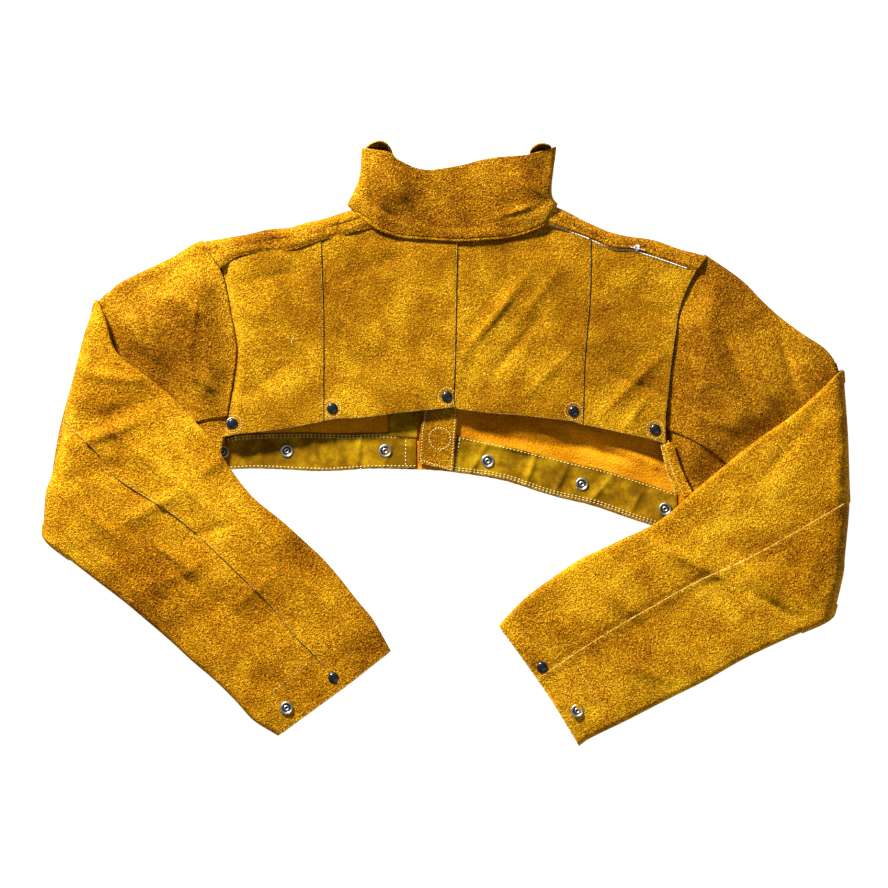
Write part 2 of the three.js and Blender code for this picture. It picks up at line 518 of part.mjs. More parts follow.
function arm(label, lay) {
  const { side } = lay;
  const shoulderY = backTop(CENTRE_X + SHOULDER_HALF);
  const edge = side < 0 ? back.left : back.right;
  const off = side * ARMHOLE_GAP;
  const ridge = ARM_RIDGE[label];
  const top = [CENTRE_X + side * (SHOULDER_HALF + ridge.out + 1), shoulderY + ridge.rise];
  const hemCorner = [edge(1) + 1.1 * off, backHem(edge(1))];
  const armhole = (v) => [edge(v) + off, mix(shoulderY, hemCorner[1], v)];
  const upper = curve([
    top, [edge(0) + 1.5 * off, shoulderY + 1], armhole(0.25), armhole(0.5), armhole(0.75),
    hemCorner, step(hemCorner, lay.underarm),
  ]);
  // Below, the root follows the front's side and stands off it at the hem, where it turns up.
  const lower = polyline([
    new THREE.Vector2(...top),
    ...ROWS.map((v) => {
      const { x, y } = side < 0 ? leftPoint(0, v) : rightPoint(1, v);
      return new THREE.Vector2(x + (v < 1 ? 1 : 6) * off, y);
    }),
  ]);
  const elbowTop = step(top, lay.elbowTop);
  const elbowBottom = step(elbowTop, lay.elbowBottom);
  const crease = straight(elbowTop, elbowBottom);
  const creaseLength = distance(elbowTop, elbowBottom);
  const root = flatLoop({ upper, lower, length: 250, floor: 0, depth: BODY_DEPTH });
  const flat = { upper: crease, lower: crease, length: creaseLength };
  const elbow = flatLoop({ ...flat, floor: 0, depth: BODY_DEPTH });
  const arms = tube(root, elbow);
  const thread = EDGE / ROOT_WIDTH;       // half a seam gap, as a share of a face
  const bendThread = EDGE / ROOT_EDGE;    // the same, as a share of an edge
  const creaseGap = FOLD_GAP / 2 / CREASE_WIDTH;
  const length = (s) => mix(0, 1 - creaseGap, s);

  // The back half of the arm: from the seam underneath, round the top edge, over the upper face.
  const seamTurn = 3 - CREASE_SEAM_SHARE;
  const gussetTurn = (s) => 5 - Math.max(lay.gussetShare * (1 - s / GUSSET_END), 0);
  const backTurns = (s) => {
    const end = gussetTurn(s) - thread;
    return [seamTurn + thread, mix(seamTurn, 3, 0.5), 3, 3.25, 3.5, 3.75, 4, ...steps(4, end, 4).slice(1)];
  };
  const armBack = (u, v) => {
    const s = length(v);
    const turns = backTurns(s);
    return arms(turns[Math.round(u * (turns.length - 1))], s);
  };
  addPiece(`arm_back_${label}`, sheet(armBack, steps(0, 1, 10), ARM_STATIONS, LEATHER), suede);

  // The front half: from the same seam to the underarm edge and round it.
  const frontTurns = [1 + bendThread, 1.25, 1.5, 1.75, 2, mix(2, seamTurn, 0.5), seamTurn - thread];
  const armFront = (u, v) => arms(frontTurns[Math.round(u * (frontTurns.length - 1))], length(v));
  addPiece(`arm_front_${label}`, sheet(armFront, steps(0, 1, 6), ARM_STATIONS, LEATHER), suede);

  // The underarm gusset tapers along the underarm edge.
  const gussetPoint = (u, v) => {
    const s = v * GUSSET_END * 0.93;      // short of its point, which would have no width
    const from = gussetTurn(s) - 4 + thread;
    return arms(mix(from, 1 - thread, u), s);
  };
  addPiece(`gusset_${label}`, sheet(gussetPoint, [0, 0.5, 1], steps(0, 1, 4), LEATHER), suede);

  // The forearm lies folded on the arm, so its seam is on its upper face.
  const cuffInner = step(elbowTop, lay.cuffInner);
  const cuffOuter = step(cuffInner, lay.cuffOuter);
  const cuffWidth = distance(cuffInner, cuffOuter);
  const cuffLine = straight(cuffInner, cuffOuter);
  const layer = { floor: LAYER_BASE, depth: FOREARM_DEPTH };
  const fold = flatLoop({ ...flat, ...layer });
  const cuff = flatLoop({ upper: cuffLine, lower: cuffLine, length: cuffWidth, ...layer });
  const forearm = tube(fold, cuff);
  const seamAt = (s) => mix(CREASE_SEAM_SHARE, CUFF_SEAM_SHARE, s);
  const innerTurns = (s) => {
    const seam = 4 + seamAt(s) - thread;
    return [seam, mix(4, seam, 0.5), 4, 3.75, 3.5, 3.25, 3, 2.67, 2.33, 2 + thread];
  };
  const outerTurns = (s) => {
    const seam = seamAt(s) + thread;
    return [seam, mix(seam, 1, 0.5), 1, 1.25, 1.5, 1.75, 2 - bendThread];
  };
  const forearmPoint = (turnsAt, count) => (u, v) => {
    const s = mix(creaseGap, 1, v);
    return forearm(turnsAt(s)[Math.round(u * count)], s);
  };
  const forearmLength = distance(elbowTop, cuffInner);
  const bend = FOREARM_DEPTH / 2 / cuffWidth;
  const onFace = (share, inset) => (
    forearm((share - bend) / (1 - 2 * bend), 1 - inset / forearmLength)
  );
  const capSpot = onFace(CUFF_CAP_SHARE, CUFF_CAP_INSET);
  const studSpot = onFace(CUFF_STUD_SHARE, CUFF_STUD_INSET);
  const inner = sheet(forearmPoint(innerTurns, 9), steps(0, 1, 9), ARM_STATIONS, LEATHER);
  const outer = sheet(forearmPoint(outerTurns, 6), steps(0, 1, 6), ARM_STATIONS, LEATHER);
  addPiece(`forearm_inner_${label}`, punched(inner, [capSpot]), suede);
  addPiece(`forearm_outer_${label}`, punched(outer, [studSpot]), suede);

  const faceZ = LAYER_BASE + FOREARM_DEPTH;
  snapPair(`cuff_cap_${label}`, `cuff_socket_${label}`, {
    x: capSpot.x, y: capSpot.y, outerZ: faceZ, innerZ: faceZ - LEATHER,
  });
  // The stud shows its ring on the outer face, and its plain back is inside the cuff.
  addPiece(`cuff_stud_${label}`, ring(), nickel).position.set(studSpot.x, studSpot.y, faceZ + CLEARANCE);
  const plateTop = -LEATHER - CLEARANCE;
  const studBack = lathe([
    [0, POST_END], [POST_DIAMETER / 2, POST_END], [POST_DIAMETER / 2, plateTop],
    [CAP_DIAMETER / 2, plateTop], [CAP_DIAMETER / 2, plateTop - 1], [0, plateTop - 1],
  ]);
  addPiece(`cuff_stud_back_${label}`, studBack, nickel).position.set(studSpot.x, studSpot.y, faceZ);
}
arm('left', ARMS.left);
arm('right', ARMS.right);

// ---- Collar -------------------------------------------------------------------------------
// A stand-up collar laid flat: an outer leather and a lining, open at the centre front.
const COLLAR_TAPER = { left: 17, right: 6 };   // how far its ends lean in at the top
const COLLAR_DIP = 20;                         // its ends stand above its middle
function collar(name, inset, height, turns) {
  const left = CENTRE_X - COLLAR_HALF + inset;
  const right = CENTRE_X + COLLAR_HALF - inset;
  const base = (d) => {
    const x = mix(left, right, d);
    return new THREE.Vector2(x, neckLine(x) + SEAM_GAP);
  };
  const top = (d) => {
    const x = mix(left + COLLAR_TAPER.left, right - COLLAR_TAPER.right, d);
    return new THREE.Vector2(x, NECK_Y + height + COLLAR_DIP - bow(COLLAR_DIP, d));
  };
  const size = { length: right - left, floor: inset, depth: BODY_DEPTH - 2 * inset };
  const foot = flatLoop({ upper: base, lower: base, ...size });
  const rim = flatLoop({ upper: top, lower: top, ...size });
  const point = (u, v) => tube(foot, rim)(turns[Math.round(u * (turns.length - 1))], v);
  addPiece(name, sheet(point, steps(0, 1, turns.length - 1), [0, 0.5, 1], LEATHER), suede);
}
const OPENING = 0.02;            // half of the front opening, as a share of the collar's front
const collarTurns = [
  2.5 + OPENING, 2.75, ...steps(3, 3.8, 4), ...steps(4, 5, 10), ...steps(5.2, 6, 4), 6.25, 6.5 - OPENING,
];
collar('collar', 0, COLLAR_HEIGHT, collarTurns);
collar('collar_lining', LEATHER + CLEARANCE, COLLAR_HEIGHT - 2, collarTurns);

// ---- Origin -------------------------------------------------------------------------------
const footprint = new THREE.Box3().setFromObject(jacket);
const centre = footprint.getCenter(new THREE.Vector3());
jacket.position.set(-centre.x, -centre.y, -footprint.min.z);
jacket.updateMatrixWorld(true);

export default jacket;
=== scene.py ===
import math

import bmesh
import bpy
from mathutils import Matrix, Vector, noise
from mathutils.bvhtree import BVHTree


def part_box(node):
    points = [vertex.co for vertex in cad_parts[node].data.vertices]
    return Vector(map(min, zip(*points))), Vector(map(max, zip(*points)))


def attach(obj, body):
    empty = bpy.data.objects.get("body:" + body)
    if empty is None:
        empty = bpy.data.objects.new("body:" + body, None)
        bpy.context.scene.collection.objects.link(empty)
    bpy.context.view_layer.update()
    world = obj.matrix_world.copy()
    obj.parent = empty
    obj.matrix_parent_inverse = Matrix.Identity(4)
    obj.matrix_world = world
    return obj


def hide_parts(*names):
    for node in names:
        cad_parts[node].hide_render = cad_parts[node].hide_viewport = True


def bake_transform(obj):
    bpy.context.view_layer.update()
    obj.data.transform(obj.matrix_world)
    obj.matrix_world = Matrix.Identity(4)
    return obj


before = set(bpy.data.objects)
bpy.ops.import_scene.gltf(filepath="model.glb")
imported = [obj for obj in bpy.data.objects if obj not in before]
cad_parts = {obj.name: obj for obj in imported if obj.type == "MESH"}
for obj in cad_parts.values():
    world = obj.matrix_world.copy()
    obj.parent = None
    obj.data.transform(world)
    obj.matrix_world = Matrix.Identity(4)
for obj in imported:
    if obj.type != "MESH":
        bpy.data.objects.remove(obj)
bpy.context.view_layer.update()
scene = bpy.context.scene

# ---- The back ------------------------------------------------------------------------------
# Four panels of split cowhide, suede side out, sewn with lapped seams: each panel's raw edge
# lies over the next panel to the right. The raw edges show the pale, undyed middle of the hide; their
# pale strip is also painted highlight where the raised edge catches the lamp.
MM = 0.001
LEATHER = 1.5
LAP = 6


class Field:
    """A socket of a material. Sums on it add the Math nodes that work them out."""

    def __init__(self, tree, socket=None):
        self.tree, self.socket = tree, socket

    def add(self, kind, sockets=None, output=0, stops=None, **settings):
        """A node of this kind: its settings first, then the values or links of its sockets."""
        node = self.tree.nodes.new(kind)
        for key, value in settings.items():
            setattr(node, key, value)
        if stops:
            elements = node.color_ramp.elements
            elements[0].position, elements[0].color = stops[0][0], (*stops[0][1], 1)
            elements[1].position, elements[1].color = stops[-1][0], (*stops[-1][1], 1)
            for place, colour in stops[1:-1]:
                elements.new(place).color = (*colour, 1)
        for key, value in (sockets or {}).items():
            if isinstance(value, Field):
                self.tree.links.new(value.socket, node.inputs[key])
            else:
                node.inputs[key].default_value = value
        return Field(self.tree, node.outputs[output])

    def math(self, operation, *values):
        return self.add("ShaderNodeMath", dict(enumerate(values)), operation=operation)

    def __add__(self, other):
        return self.math("ADD", self, other)

    def __sub__(self, other):
        return self.math("SUBTRACT", self, other)

    def __rsub__(self, other):
        return self.math("SUBTRACT", other, self)

    def __mul__(self, other):
        return self.math("MULTIPLY", self, other)

    __radd__ = __add__
    __rmul__ = __mul__

    def noise(self, scale, detail=2.0, roughness=0.5):
        """Noise around this position, 0 to 1, in features of 1/scale metres."""
        return self.add("ShaderNodeTexNoise", {"Vector": self, "Scale": scale, "Detail": detail,
                                               "Roughness": roughness})

    def ramp(self, stops):
        """The colour that this value, 0 to 1, has between stops of a place and a colour."""
        return self.add("ShaderNodeValToRGB", {"Fac": self}, stops=stops)

    def bump(self, strength, distance):
        """The surface direction of this height."""
        return self.add("ShaderNodeBump",
                        {"Height": self, "Strength": strength, "Distance": distance})

    def feed(self, shader, name):
        self.tree.links.new(self.socket, shader.inputs[name])


def finish(name, rough, metallic=0.0):
    """A new material: it, its Principled shader, and the position in the piece as a Field."""
    material = bpy.data.materials.new(name)
    material.use_nodes = True
    tree = material.node_tree
    shader = tree.nodes["Principled BSDF"]
    shader.inputs["Roughness"].default_value = rough
    shader.inputs["Metallic"].default_value = metallic
    where = Field(tree).add("ShaderNodeTexCoord", output="Object")
    return material, shader, where


def suede(name, deep, middle, light, patchy=1.0, grain=1.0):
    """Napped split leather: clouds where the nap is brushed, and a coarse speckled grain whose colour
    follows its bump: the grain's own colour, with painted highlight on the raised grain and painted
    shade in its hollows.
    """
    material, shader, where = finish(name, 0.92)
    shader.inputs["Sheen Weight"].default_value = 0.03
    shader.inputs["Sheen Roughness"].default_value = 0.6
    shader.inputs["Sheen Tint"].default_value = (*light, 1)
    shader.inputs["Specular IOR Level"].default_value = 0.05
    clouds = where.noise(8, 2)
    strokes = where.noise(34, 2, 0.5)
    nap = where.noise(380, 2, 0.7)
    grit = where.noise(760, 1, 0.5)
    # The nap and grit that make the bump also set the colour, so the raised grain is painted lighter
    # as highlight and its hollows darker as shade.
    tone = (0.5 + (clouds - 0.5) * (0.45 * patchy) + (strokes - 0.5) * (0.25 * patchy)
            + (nap - 0.5) * (0.95 * grain) + (grit - 0.5) * (0.9 * grain))
    tone.ramp([(0.16, deep), (0.5, middle), (0.86, light)]).feed(shader, "Base Color")
    (nap + grit * 0.35).bump(grain, 0.0045).feed(shader, "Normal")
    return material


gold_suede = suede("gold suede", (0.075, 0.014, 0.0001), (0.43, 0.16, 0.001), (0.98, 0.56, 0.015),
                   patchy=1.5, grain=0.85)
brushed_suede = suede("gold suede, brushed smooth", (0.07, 0.015, 0.0001), (0.29, 0.113, 0.0007),
                      (0.90, 0.50, 0.012), patchy=1.3, grain=0.62)
# A darker copy of the gold suede for the yokes, arms, gussets and collar: its darker colour is painted
# shade, for parts that slope away from the lamp.
shaded_gold_suede = suede("gold suede, painted shade", (0.045, 0.009, 0.0001), (0.29, 0.102, 0.0009),
                   (0.86, 0.44, 0.012), patchy=1.4, grain=0.82)
russet_split = suede("russet split side", (0.24, 0.07, 0.0005), (0.62, 0.22, 0.002),
                     (0.95, 0.42, 0.01), patchy=1.7, grain=0.45)
# A near-black copy of the russet split side: painted shade, for the hollow inside the collar's
# scrolls.
russet_painted_shade = suede("russet split side, painted shade", (0.02, 0.006, 0.0001), (0.10, 0.032, 0.0006),
                    (0.40, 0.16, 0.006))
# Pale colour for cut edges: partly the cut hide's own paler colour, partly painted highlight where a
# raised edge catches the lamp.
raw_edge_and_highlight = suede("raw cut edge, with painted highlight", (0.30, 0.15, 0.01), (0.66, 0.40, 0.06), (0.95, 0.76, 0.28),
                 patchy=0.7, grain=0.8)


def line(*points):
    """A smooth line on the plan through points in millimetres, read by a share from 0 to 1."""
    points = [Vector(p) for p in points]
    if len(points) == 2:
        return lambda share: points[0].lerp(points[1], share)
    knots = [2 * points[0] - points[1], *points, 2 * points[-1] - points[-2]]
    dense = []
    for a, b, c, d in zip(knots, knots[1:], knots[2:], knots[3:]):
        for k in range(10):
            t = k / 10
            dense.append(0.5 * (2 * b + (c - a) * t + (2 * a - 5 * b + 4 * c - d) * t * t
                                + (3 * b - a - 3 * c + d) * t ** 3))
    dense.append(points[-1])
    reach = [0.0]
    for p, q in zip(dense, dense[1:]):
        reach.append(reach[-1] + (q - p).length)

    def at(share):
        want = min(max(share, 0.0), 1.0) * reach[-1]
        low, high = 0, len(reach) - 1
        while high - low > 1:
            half = (low + high) // 2
            if reach[half] <= want:
                low = half
            else:
                high = half
        step = reach[high] - reach[low]
        return dense[low].lerp(dense[high], (want - reach[low]) / step if step else 0)
    return at


def beside(path, gap):
    """The line at this distance to the left of a path, or to its right if the gap is negative."""
    def at(share):
        ahead = path(min(share + 0.02, 1)) - path(max(share - 0.02, 0))
        ahead.normalize()
        return path(share) + gap * Vector((-ahead.y, ahead.x))
    return at


def between(bottom, top, left, right):
    """A surface on the plan stretched between four lines; the side lines run from the bottom."""
    corners = [(bottom(0) + left(0)) / 2, (bottom(1) + right(0)) / 2,
               (top(0) + left(1)) / 2, (top(1) + right(1)) / 2]

    def at(u, v):
        level = bottom(u).lerp(top(u), v) + left(v).lerp(right(v), u)
        return level - corners[0].lerp(corners[1], u).lerp(corners[2].lerp(corners[3], u), v)
    return at


def smooth(value, start=0.0, end=1.0):
    t = min(max((value - start) / (end - start), 0.0), 1.0)
    return t * t * (3 - 2 * t)


def rumple(x, y, folds=(), depth=1.0, seed=0.0):
    """Height in millimetres that soft creases add: a slow swell, and folds that are each
    two ends, a half width and a height."""
    height = depth * (1.8 * noise.noise((x / 60, y / 60, seed))
                      + 0.95 * noise.noise((x / 23, y / 23, seed + 7))
                      + 0.28 * noise.noise((x / 9, y / 9, seed + 3)))
    for ax, ay, bx, by, wide, tall in folds:
        dx, dy = bx - ax, by - ay
        size = dx * dx + dy * dy
        t = min(max(((x - ax) * dx + (y - ay) * dy) / size, 0), 1)
        away = math.hypot(x - ax - t * dx, y - ay - t * dy)
        if away < 3 * wide:
            crest = (0.6 * math.exp(-(away / wide) ** 2)
                     + 0.6 * math.exp(-(away / (0.4 * wide)) ** 2))
            height += 1.5 * tall * crest * (0.3 + 0.7 * math.sin(math.pi * min(max(t, 0.06), 0.94)))
    return height


def stations(count, length):
    """Shares along a side, with a narrow step at each end so that the edge turns crisply."""
    tight = 0.9 / length
    return [0.0, *(tight + (1 - 2 * tight) * k / (count - 2) for k in range(count - 1)), 1.0]


def made_of(shape, skins, name, ending=""):
    """The object of a finished bmesh, with its materials. The bmesh is freed."""
    mesh = bpy.data.meshes.new(name)
    shape.to_mesh(mesh)
    shape.free()
    for skin in skins:
        mesh.materials.append(skin)
    piece = bpy.data.objects.new(name + ending, mesh)
    scene.collection.objects.link(piece)
    return piece


def leather(name, place, us, vs, skins, thick=LEATHER, outside_up=True, cut=()):
    """A sheet of leather: place(u, v) gives its outer face in millimetres, and the skins are
    its outer face, its inner face and its cut edge. The sides named in cut show their edge."""
    mesh_maker = bmesh.new()
    columns, rows = len(us) - 1, len(vs) - 1
    bmesh.ops.create_grid(mesh_maker, x_segments=columns, y_segments=rows, size=0.5)
    for vert in mesh_maker.verts:
        i, j = round((vert.co.x + 0.5) * columns), round((vert.co.y + 0.5) * rows)
        vert.co = Vector(place(us[i], vs[j])) * MM
    mesh_maker.normal_update()
    level = sum(vert.co.z for vert in mesh_maker.verts) / len(mesh_maker.verts)
    lean = sum(face.normal.z * face.calc_area() for face in mesh_maker.faces
               if face.calc_center_median().z >= level)
    if (lean > 0) != outside_up:
        bmesh.ops.reverse_faces(mesh_maker, faces=mesh_maker.faces)
    mesh_maker.verts.index_update()
    for face in mesh_maker.faces:
        face.smooth = True
        column, row = (min(vert.index % (columns + 1) for vert in face.verts),
                       min(vert.index // (columns + 1) for vert in face.verts))
        sides = {"u0": column == 0, "u1": column == columns - 1,
                 "v0": row == 0, "v1": row == rows - 1}
        # The border strip of the outer face along each cut side takes the edge skin: the edge's own
        # paler colour and a painted highlight.
        if any(sides[side] for side in cut):
            face.material_index = 2
    piece = made_of(mesh_maker, skins, name, "_leather")
    wall = piece.modifiers.new("thickness", "SOLIDIFY")
    wall.thickness = thick * MM
    wall.offset = -1
    wall.material_offset = 1
    wall.material_offset_rim = 2
    return piece


FRAY = 0.45


def frayed(spot, u, v):
    """Moves points of a cut edge a little, as shears leave them."""
    if 0 < u < 1 and 0 < v < 1:
        return spot
    return spot + FRAY * Vector((noise.noise((spot.x / 3, spot.y / 3, 1.5)),
                                 noise.noise((spot.x / 3, spot.y / 3, 8.5))))


def flat_panel(name, plan, size, height, skins, thick=LEATHER, outside_up=True, cell=3.2, cut=()):
    """A panel that lies open on the plan, with its height at each place."""
    wide, long = size

    def place(u, v):
        spot = frayed(plan(u, v), u, v)
        edge = 0 if 0 < u < 1 and 0 < v < 1 else 0.25
        z = height(spot.x, spot.y, u, v)
        return spot.x, spot.y, z - edge if outside_up else z + edge
    us = stations(max(round(wide / cell), 5), wide)
    vs = stations(max(round(long / cell), 5), long)
    return leather(name, place, us, vs, skins, thick, outside_up, cut)


SUEDE_SKINS = (gold_suede, russet_split, raw_edge_and_highlight)
BRUSHED_SKINS = (brushed_suede, russet_split, raw_edge_and_highlight)
# These skins carry the darker suede, whose colour is painted shade.
DARK_SKINS = (shaded_gold_suede, shaded_gold_suede, raw_edge_and_highlight)
BACK_Z = 23.0
PANEL_WIDTH = 150
seam_left = line((-145, 30), (-145, 78), (-145, 152), (-148, 250))
seam_middle = line((13, 47), (11, 62), (13, 104), (16, 258))
seam_right = line((166, 27), (167, 48), (169, 108), (175, 182), (176, 252))
armhole_left = line((-266, 12), (-258, 38), (-252, 74), (-250, 104), (-250, 128), (-256, 164),
                    (-262, 200), (-268, 222))
armhole_right = line((266, 4), (266, 32), (269, 62), (272, 92), (277, 128), (282, 162), (290, 186),
                     (304, 214))
back_folds = [
    (22, 110, 100, 205, 9, 2.8), (90, 150, 140, 215, 7, 1.5), (96, 60, 158, 120, 9, 1.6),
    (60, 90, 120, 160, 8, -1.6), (190, 40, 262, 110, 9, 2.2), (196, 90, 268, 60, 8, -1.8),
    (215, 20, 245, 60, 6, 1.8), (-240, 60, -160, 120, 14, -1.3), (-130, 200, -30, 236, 16, -1.6),
    (-135, 90, -20, 120, 22, -1.2), (-250, 196, -160, 214, 12, -1.5), (30, 236, 150, 236, 12, -1.4),
    (-245, 160, -170, 150, 18, 1.5), (190, 190, 280, 150, 14, -1.6),
]


def back_height(x, y):
    dip = 2.2 * smooth(y, 232, 256) * (1 if -120 < x < 150 else 0.4)
    return BACK_Z + 1.2 * smooth(y, 90, 20) + rumple(x, y, back_folds, 0.9, 2.0) - dip


back_panels = []
for name, left, right, hem, top, lapped, area in [
    ("back_side_left", armhole_left, seam_left,
     line((-266, 12), (-241, 16), (-205, 20), (-176, 25), (-151, 30), (-145, 31)),
     line((-268, 222), (-248, 229), (-230, 233), (-209, 235), (-182, 238), (-148, 250)), False,
     0.0245),
    ("back_centre_left", seam_left, seam_middle,
     line((-145, 31), (-127, 34), (-92, 36), (-56, 41), (-26, 44), (13, 48)),
     line((-148, 250), (-119, 258), (-98, 266), (-75, 263), (-48, 259), (-17, 257), (16, 257)),
     True, 0.0360),
    ("back_centre_right", seam_middle, seam_right,
     line((13, 47), (58, 41), (94, 38), (128, 34), (152, 31), (166, 27)),
     line((16, 257), (48, 258), (80, 261), (104, 268), (122, 272), (148, 262), (176, 252)), True,
     0.0360),
    ("back_side_right", seam_right, armhole_right,
     line((166, 27), (182, 24), (204, 19), (241, 11), (266, 4)),
     line((176, 252), (202, 241), (223, 240), (244, 234), (271, 225), (304, 214)), True, 0.0245),
]:
    left_edge = beside(left, LAP) if lapped else beside(left, 1.0)
    right_edge = beside(right, 0 if name == "back_side_right" else -0.5)
    plan = between(hem, top, left_edge, right_edge)

    def height(x, y, u, v, lapped=lapped):
        """Raised where it lies over the next panel, and lowered at its left side, where it
        runs under the last panel or down to the left armhole."""
        over = 0.7 * smooth((1 - u) * PANEL_WIDTH, 12, 1)
        sunk = (1.1 if lapped else 4.6) * smooth(u * PANEL_WIDTH, 12, 4)
        return back_height(x, y) + over - sunk
    piece = flat_panel(name, plan, (125 if "side" in name else 162, 215), height, BRUSHED_SKINS,
                       cut=("u1", "v0"))
    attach(piece, "torso")
    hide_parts(name)
    back_panels.append(piece)

# ---- Snap fasteners ------------------------------------------------------------------------
# Two-part spring snaps through the leather: a domed cap, black lacquer over steel, on the outer
# face, and a plated ring with a recessed middle on the inner face. Each is pressed and riveted.
def mottled(name, rough, scale, detail, stops, metallic=0.0, coat=0.0):
    """A finish in small blotches between two colours."""
    material, shader, where = finish(name, rough, metallic)
    where.noise(scale, detail).ramp(stops).feed(shader, "Base Color")
    shader.inputs["Coat Weight"].default_value = coat
    return material


black_cap = mottled("black lacquer", 0.32, 900, 3,
                    [(0.35, (0.004, 0.005, 0.007)), (0.75, (0.03, 0.038, 0.05))], 0.55, 0.35)
nickel = mottled("dull nickel", 0.42, 700, 3,
                 [(0.3, (0.30, 0.29, 0.26)), (0.7, (0.62, 0.61, 0.57))], 1.0)
# Near-black metal for the rings' low centre and annulus: painted shade in the recesses.
recess_painted_shade = mottled("nickel recess, painted shade", 0.5, 800, 2,
                      [(0.3, (0.008, 0.008, 0.01)), (0.7, (0.035, 0.035, 0.04))], 0.6)
thread = mottled("pale thread", 0.6, 1500, 2,
                 [(0.3, (0.72, 0.52, 0.14)), (0.7, (0.98, 0.84, 0.42))])
white_thread = mottled("white thread", 0.65, 1500, 2,
                       [(0.3, (0.62, 0.60, 0.52)), (0.7, (0.92, 0.91, 0.86))])

CAP_PROFILE = [(0.02, 2.75), (2.7, 2.6), (4.8, 2.1), (6.1, 1.3), (6.65, 0.5), (6.5, 0.05),
               (5.2, 0.0), (0.02, 0.0)]
RING_PROFILE = [(0.02, 0.3), (1.6, 0.35), (2.0, 1.0), (2.4, 1.25), (2.8, 1.1), (3.1, 0.6),
                (5.1, 0.5), (5.6, 1.3), (6.2, 1.9), (7.1, 1.8), (7.8, 1.0), (8.0, 0.2), (7.4, 0.0),
                (0.02, 0.0)]


def turned(name, profile, spot, up, skins, dark=()):
    """A round fitting spun from its half outline (radius, height) in millimetres. The second
    skin, painted shade, is on the faces whose distance from the axis lies in one of the dark spans."""
    shape = bmesh.new()
    verts = [shape.verts.new((r, 0, h)) for r, h in profile]
    edges = [shape.edges.new(pair) for pair in zip(verts, verts[1:])]
    bmesh.ops.spin(shape, geom=verts + edges, cent=(0, 0, 0), axis=(0, 0, 1), angle=2 * math.pi,
                   steps=32, use_merge=True, use_duplicate=False)
    bmesh.ops.remove_doubles(shape, verts=shape.verts, dist=0.005)
    bmesh.ops.recalc_face_normals(shape, faces=shape.faces)
    for face in shape.faces:
        face.smooth = True
        away = math.hypot(face.calc_center_median().x, face.calc_center_median().y)
        face.material_index = int(any(low < away < high for low, high in dark))
    for vert in shape.verts:
        vert.co = Vector((vert.co.x, vert.co.y if up else -vert.co.y,
                          vert.co.z if up else -vert.co.z))
        vert.co = (vert.co + Vector(spot)) * MM
    return made_of(shape, skins, name)


def fitting(node, kind, up, body, z=None):
    """A cap or a ring in the place of its CAD node."""
    low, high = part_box(node)
    middle = (low + high) / 2 / MM
    seat = z if z is not None else ((low.z if up else high.z) / MM)
    if kind == "cap":
        piece = turned(f"{node}_shell", CAP_PROFILE, (middle.x, middle.y, seat), up, [black_cap])
    else:
        # The ring's low centre and annulus take the near-black recess skin: painted shade.
        piece = turned(f"{node}_shell", RING_PROFILE, (middle.x, middle.y, seat), up,
                       [nickel, recess_painted_shade], dark=((0, 1.7), (3.0, 5.3)))
    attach(piece, body)
    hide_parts(node)
    return piece


def stitches(name, paths, height, body, skin=thread, pitch=4.4, length=3.2, girth=0.55):
    """Rows of separate stitches lying along paths on the plan, each given with its length."""
    shape = bmesh.new()
    for path, span in paths:
        count = max(round(span / pitch), 2)
        for k in range(count):
            share = (k + 0.5) / count
            spot = path(share)
            z = height(spot.x, spot.y)
            if z is None:
                continue
            ahead = path(min(share + 0.004, 1)) - path(max(share - 0.004, 0))
            turn = math.atan2(ahead.y, ahead.x) + 0.14 * noise.noise((k * 1.7, span, 0))
            made = bmesh.ops.create_icosphere(shape, subdivisions=1, radius=1.0)["verts"]
            for vert in made:
                along, side = vert.co.x * length / 2, vert.co.y * girth
                vert.co = Vector((spot.x + along * math.cos(turn) - side * math.sin(turn),
                                  spot.y + along * math.sin(turn) + side * math.cos(turn),
                                  z + 0.12 + vert.co.z * girth * 0.8)) * MM
    for face in shape.faces:
        face.smooth = True
    piece = made_of(shape, [skin], name)
    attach(piece, body)


def lying_on(*pieces):
    """Reads the height of the topmost of these pieces, in millimetres, at a place on the plan,
    or None beside them."""
    trees = [BVHTree.FromPolygons([vert.co for vert in piece.data.vertices],
                                  [face.vertices for face in piece.data.polygons]) for piece in pieces]

    def at(x, y):
        hits = [tree.ray_cast(Vector((x, y, 100)) * MM, Vector((0, 0, -1)))[0] for tree in trees]
        return max((hit.z / MM for hit in hits if hit), default=None)
    return at


def circle(x, y, radius):
    return lambda share: Vector((x + radius * math.cos(2 * math.pi * share),
                                 y + radius * math.sin(2 * math.pi * share)))


on_back = lying_on(*back_panels)
for i in range(1, 6):
    low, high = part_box(f"back_cap_{i}")
    x, y = (low.x + high.x) / 2 / MM, (low.y + high.y) / 2 / MM
    seat = on_back(x, y) + 0.1
    fitting(f"back_cap_{i}", "cap", True, "torso", z=seat)
    fitting(f"back_socket_{i}", "ring", False, "torso", z=seat - LEATHER - 0.2)
    stitches(f"back_snap_stitches_{i}", [(circle(x, y, 10.4), 65)], on_back, "torso", pitch=3.1,
             length=2.0, girth=0.45)

# ---- Shoulder yokes ------------------------------------------------------------------------
# A strip of the same suede over each shoulder. It starts at the shoulder seam on the back, rolls
# over the ridge and comes a little way down the front. The right one's edge shows a white line of
# thread.
YOKE_TOP = 26.0
YOKE_SINK = 1.2
RIDGE_START, RIDGE_SPAN = 0.5, 0.35
RIDGE_END, FRONT_SPAN = 0.85, 0.15


def evenly(count):
    return [k / count for k in range(count + 1)]


